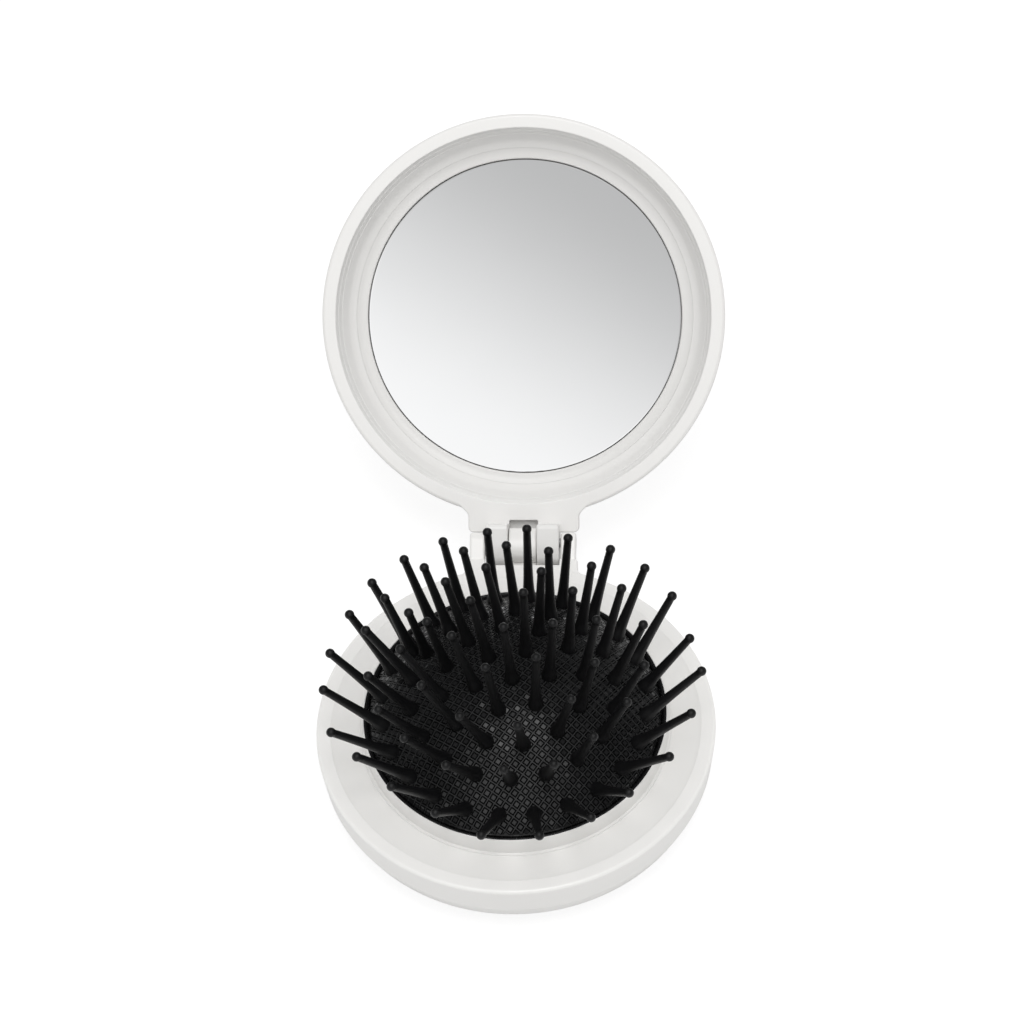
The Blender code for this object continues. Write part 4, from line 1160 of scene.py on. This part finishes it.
# Studio
# A pale floor, an even room, a large soft lamp overhead with a small one towards the front,
# and a card that the mirror reflects. The camera stands where the photograph's did.
LENS_PIXELS = 6000.0
PICTURE_PIXELS = 1024.0
SENSOR_MM = 36.0
CAMERA_AZIMUTH = math.radians(5.153)
CAMERA_ELEVATION = math.radians(52.874)
CAMERA_ROLL = math.radians(-4.145)
CAMERA_DISTANCE = 1.076357
CAMERA_TARGET = Vector((-3.856 * MM, 44.862 * MM, -12.274 * MM))
CAMERA_NEAR = 0.01
CAMERA_FAR = 50.0
ROOM_LIGHT = 0.70
ROOM_IN_GLOSS = 0.11
# Each lamp's name, power, width and place
LAMPS = (
    ("overhead lamp", 11.6, 1.30, Vector((0.04, -0.16, 2.0))),
    ("front lamp", 7.2, 0.80, Vector((0.16, -0.66, 1.90))),
)
FLOOR_SIZE = 12.0
FLOOR_COLOUR = (0.80, 0.80, 0.80, 1.0)
FLOOR_CATCH = (0.24, 0.24, 0.24, 1.0)
FLOOR_GLOW = 0.82
CARD_DISTANCE = 0.5
CARD_SIZE = 0.5
CARD_BRIGHT = 1.02
CARD_DARK = 0.54
CARD_REACH = 0.045
FADE_UP = 0.8
FADE_SIDEWAYS = 0.45

flat = math.cos(CAMERA_ELEVATION)
back = Vector(
    (
        math.sin(CAMERA_AZIMUTH) * flat,
        -math.cos(CAMERA_AZIMUTH) * flat,
        math.sin(CAMERA_ELEVATION),
    )
)
right = (-back).cross(Vector((0.0, 0.0, 1.0))).normalized()
up = right.cross(-back)
rolled_right = right * math.cos(CAMERA_ROLL) + up * math.sin(CAMERA_ROLL)
rolled_up = up * math.cos(CAMERA_ROLL) - right * math.sin(CAMERA_ROLL)
camera_data = bpy.data.cameras.new("camera")
camera_data.sensor_width = SENSOR_MM
camera_data.lens = LENS_PIXELS / PICTURE_PIXELS * SENSOR_MM
camera_data.clip_start = CAMERA_NEAR
camera_data.clip_end = CAMERA_FAR
camera = bpy.data.objects.new("camera", camera_data)
bpy.context.scene.collection.objects.link(camera)
camera.matrix_world = Matrix.Translation(CAMERA_TARGET + back * CAMERA_DISTANCE) @ Matrix(
    (
        (rolled_right.x, rolled_up.x, back.x, 0.0),
        (rolled_right.y, rolled_up.y, back.y, 0.0),
        (rolled_right.z, rolled_up.z, back.z, 0.0),
        (0.0, 0.0, 0.0, 1.0),
    )
)
bpy.context.scene.camera = camera
bpy.context.scene.view_settings.view_transform = "Standard"

room = bpy.data.worlds.new("room")
room.use_nodes = True
bpy.context.scene.world = room
room_nodes, room_links = room.node_tree.nodes, room.node_tree.links
room_glow = room_nodes["Background"]
room_glow.inputs["Color"].default_value = (1.0, 1.0, 1.0, 1.0)
ray = room_nodes.new("ShaderNodeLightPath")
unlit = room_nodes.new("ShaderNodeMapRange")
unlit.inputs["To Min"].default_value = ROOM_LIGHT
unlit.inputs["To Max"].default_value = ROOM_IN_GLOSS
level = room_nodes.new("ShaderNodeMapRange")
level.inputs["To Max"].default_value = 1.0
room_links.new(ray.outputs["Is Glossy Ray"], unlit.inputs["Value"])
room_links.new(ray.outputs["Is Camera Ray"], level.inputs["Value"])
room_links.new(unlit.outputs["Result"], level.inputs["To Min"])
room_links.new(level.outputs["Result"], room_glow.inputs["Strength"])

for name, power, size, place in LAMPS:
    lamp_data = bpy.data.lights.new(name, "AREA")
    lamp_data.shape = "DISK"
    lamp_data.size = size
    lamp_data.energy = power
    lamp = bpy.data.objects.new(name, lamp_data)
    lamp.location = place
    lamp.rotation_euler = place.to_track_quat("Z", "Y").to_euler()
    bpy.context.scene.collection.objects.link(lamp)


def stage_plane(name, size, place, facing):
    """A square sheet of the studio, which isn't part of the object."""
    bm = bmesh.new()
    bmesh.ops.create_grid(bm, x_segments=1, y_segments=1, size=size / 2)
    bm.transform(Matrix.Translation(place) @ facing.to_track_quat("Z", "Y").to_matrix().to_4x4())
    mesh = bpy.data.meshes.new(name)
    bm.to_mesh(mesh)
    bm.free()
    sheet = bpy.data.objects.new(name, mesh)
    bpy.context.scene.collection.objects.link(sheet)
    return sheet


floor = stage_plane("floor", FLOOR_SIZE, Vector((0.0, 0.0, 0.0)), Vector((0.0, 0.0, 1.0)))
floor_paint = bpy.data.materials.new("studio floor")
floor_paint.use_nodes = True
paint_nodes, paint_links = floor_paint.node_tree.nodes, floor_paint.node_tree.links
paint_nodes.remove(paint_nodes["Principled BSDF"])
plain = paint_nodes.new("ShaderNodeBsdfDiffuse")
plain.inputs["Color"].default_value = FLOOR_COLOUR
catch = paint_nodes.new("ShaderNodeBsdfDiffuse")
catch.inputs["Color"].default_value = FLOOR_CATCH
glow = paint_nodes.new("ShaderNodeEmission")
glow.inputs["Strength"].default_value = FLOOR_GLOW
both = paint_nodes.new("ShaderNodeAddShader")
choose = paint_nodes.new("ShaderNodeMixShader")
floor_ray = paint_nodes.new("ShaderNodeLightPath")
paint_links.new(catch.outputs["BSDF"], both.inputs[0])
paint_links.new(glow.outputs["Emission"], both.inputs[1])
paint_links.new(floor_ray.outputs["Is Camera Ray"], choose.inputs["Fac"])
paint_links.new(plain.outputs["BSDF"], choose.inputs[1])
paint_links.new(both.outputs["Shader"], choose.inputs[2])
paint_links.new(choose.outputs["Shader"], paint_nodes["Material Output"].inputs["Surface"])
floor.data.materials.append(floor_paint)

mirror_centre = to_rest @ Vector((0.0, BASE_Y, LID_RIM_Z + MIRROR_FACE * MM))
mirror_facing = (to_rest.to_3x3() @ Vector((0.0, 0.0, -1.0))).normalized()
mirror_up = (to_rest.to_3x3() @ Vector((0.0, -1.0, 0.0))).normalized()
seen_from = (camera.matrix_world.translation - mirror_centre).normalized()
bounce = mirror_facing * (2 * seen_from.dot(mirror_facing)) - seen_from
card = stage_plane("reflected card", CARD_SIZE, mirror_centre + bounce * CARD_DISTANCE, -bounce)
card.visible_camera = False
card.visible_diffuse = False
card.visible_shadow = False
card_paint = bpy.data.materials.new("card glow")
card_paint.use_nodes = True
card_nodes, card_links = card_paint.node_tree.nodes, card_paint.node_tree.links
card_nodes.remove(card_nodes["Principled BSDF"])
card_glow = card_nodes.new("ShaderNodeEmission")
card_place = card_nodes.new("ShaderNodeTexCoord")
card_line = card_nodes.new("ShaderNodeVectorMath")
card_line.operation = "DOT_PRODUCT"
fade = (mirror_up * FADE_UP + Vector((1.0, 0.0, 0.0)) * FADE_SIDEWAYS).normalized()
card_line.inputs[1].default_value = fade
fade_centre = (mirror_centre + bounce * CARD_DISTANCE).dot(fade)
card_fade = card_nodes.new("ShaderNodeMapRange")
card_fade.interpolation_type = "SMOOTHSTEP"
card_fade.inputs["From Min"].default_value = fade_centre - CARD_REACH
card_fade.inputs["From Max"].default_value = fade_centre + CARD_REACH
card_fade.inputs["To Min"].default_value = CARD_BRIGHT
card_fade.inputs["To Max"].default_value = CARD_DARK
card_links.new(card_place.outputs["Object"], card_line.inputs[0])
card_links.new(card_line.outputs["Value"], card_fade.inputs["Value"])
card_links.new(card_fade.outputs["Result"], card_glow.inputs["Strength"])
card_links.new(card_glow.outputs["Emission"], card_nodes["Material Output"].inputs["Surface"])
card.data.materials.append(card_paint)
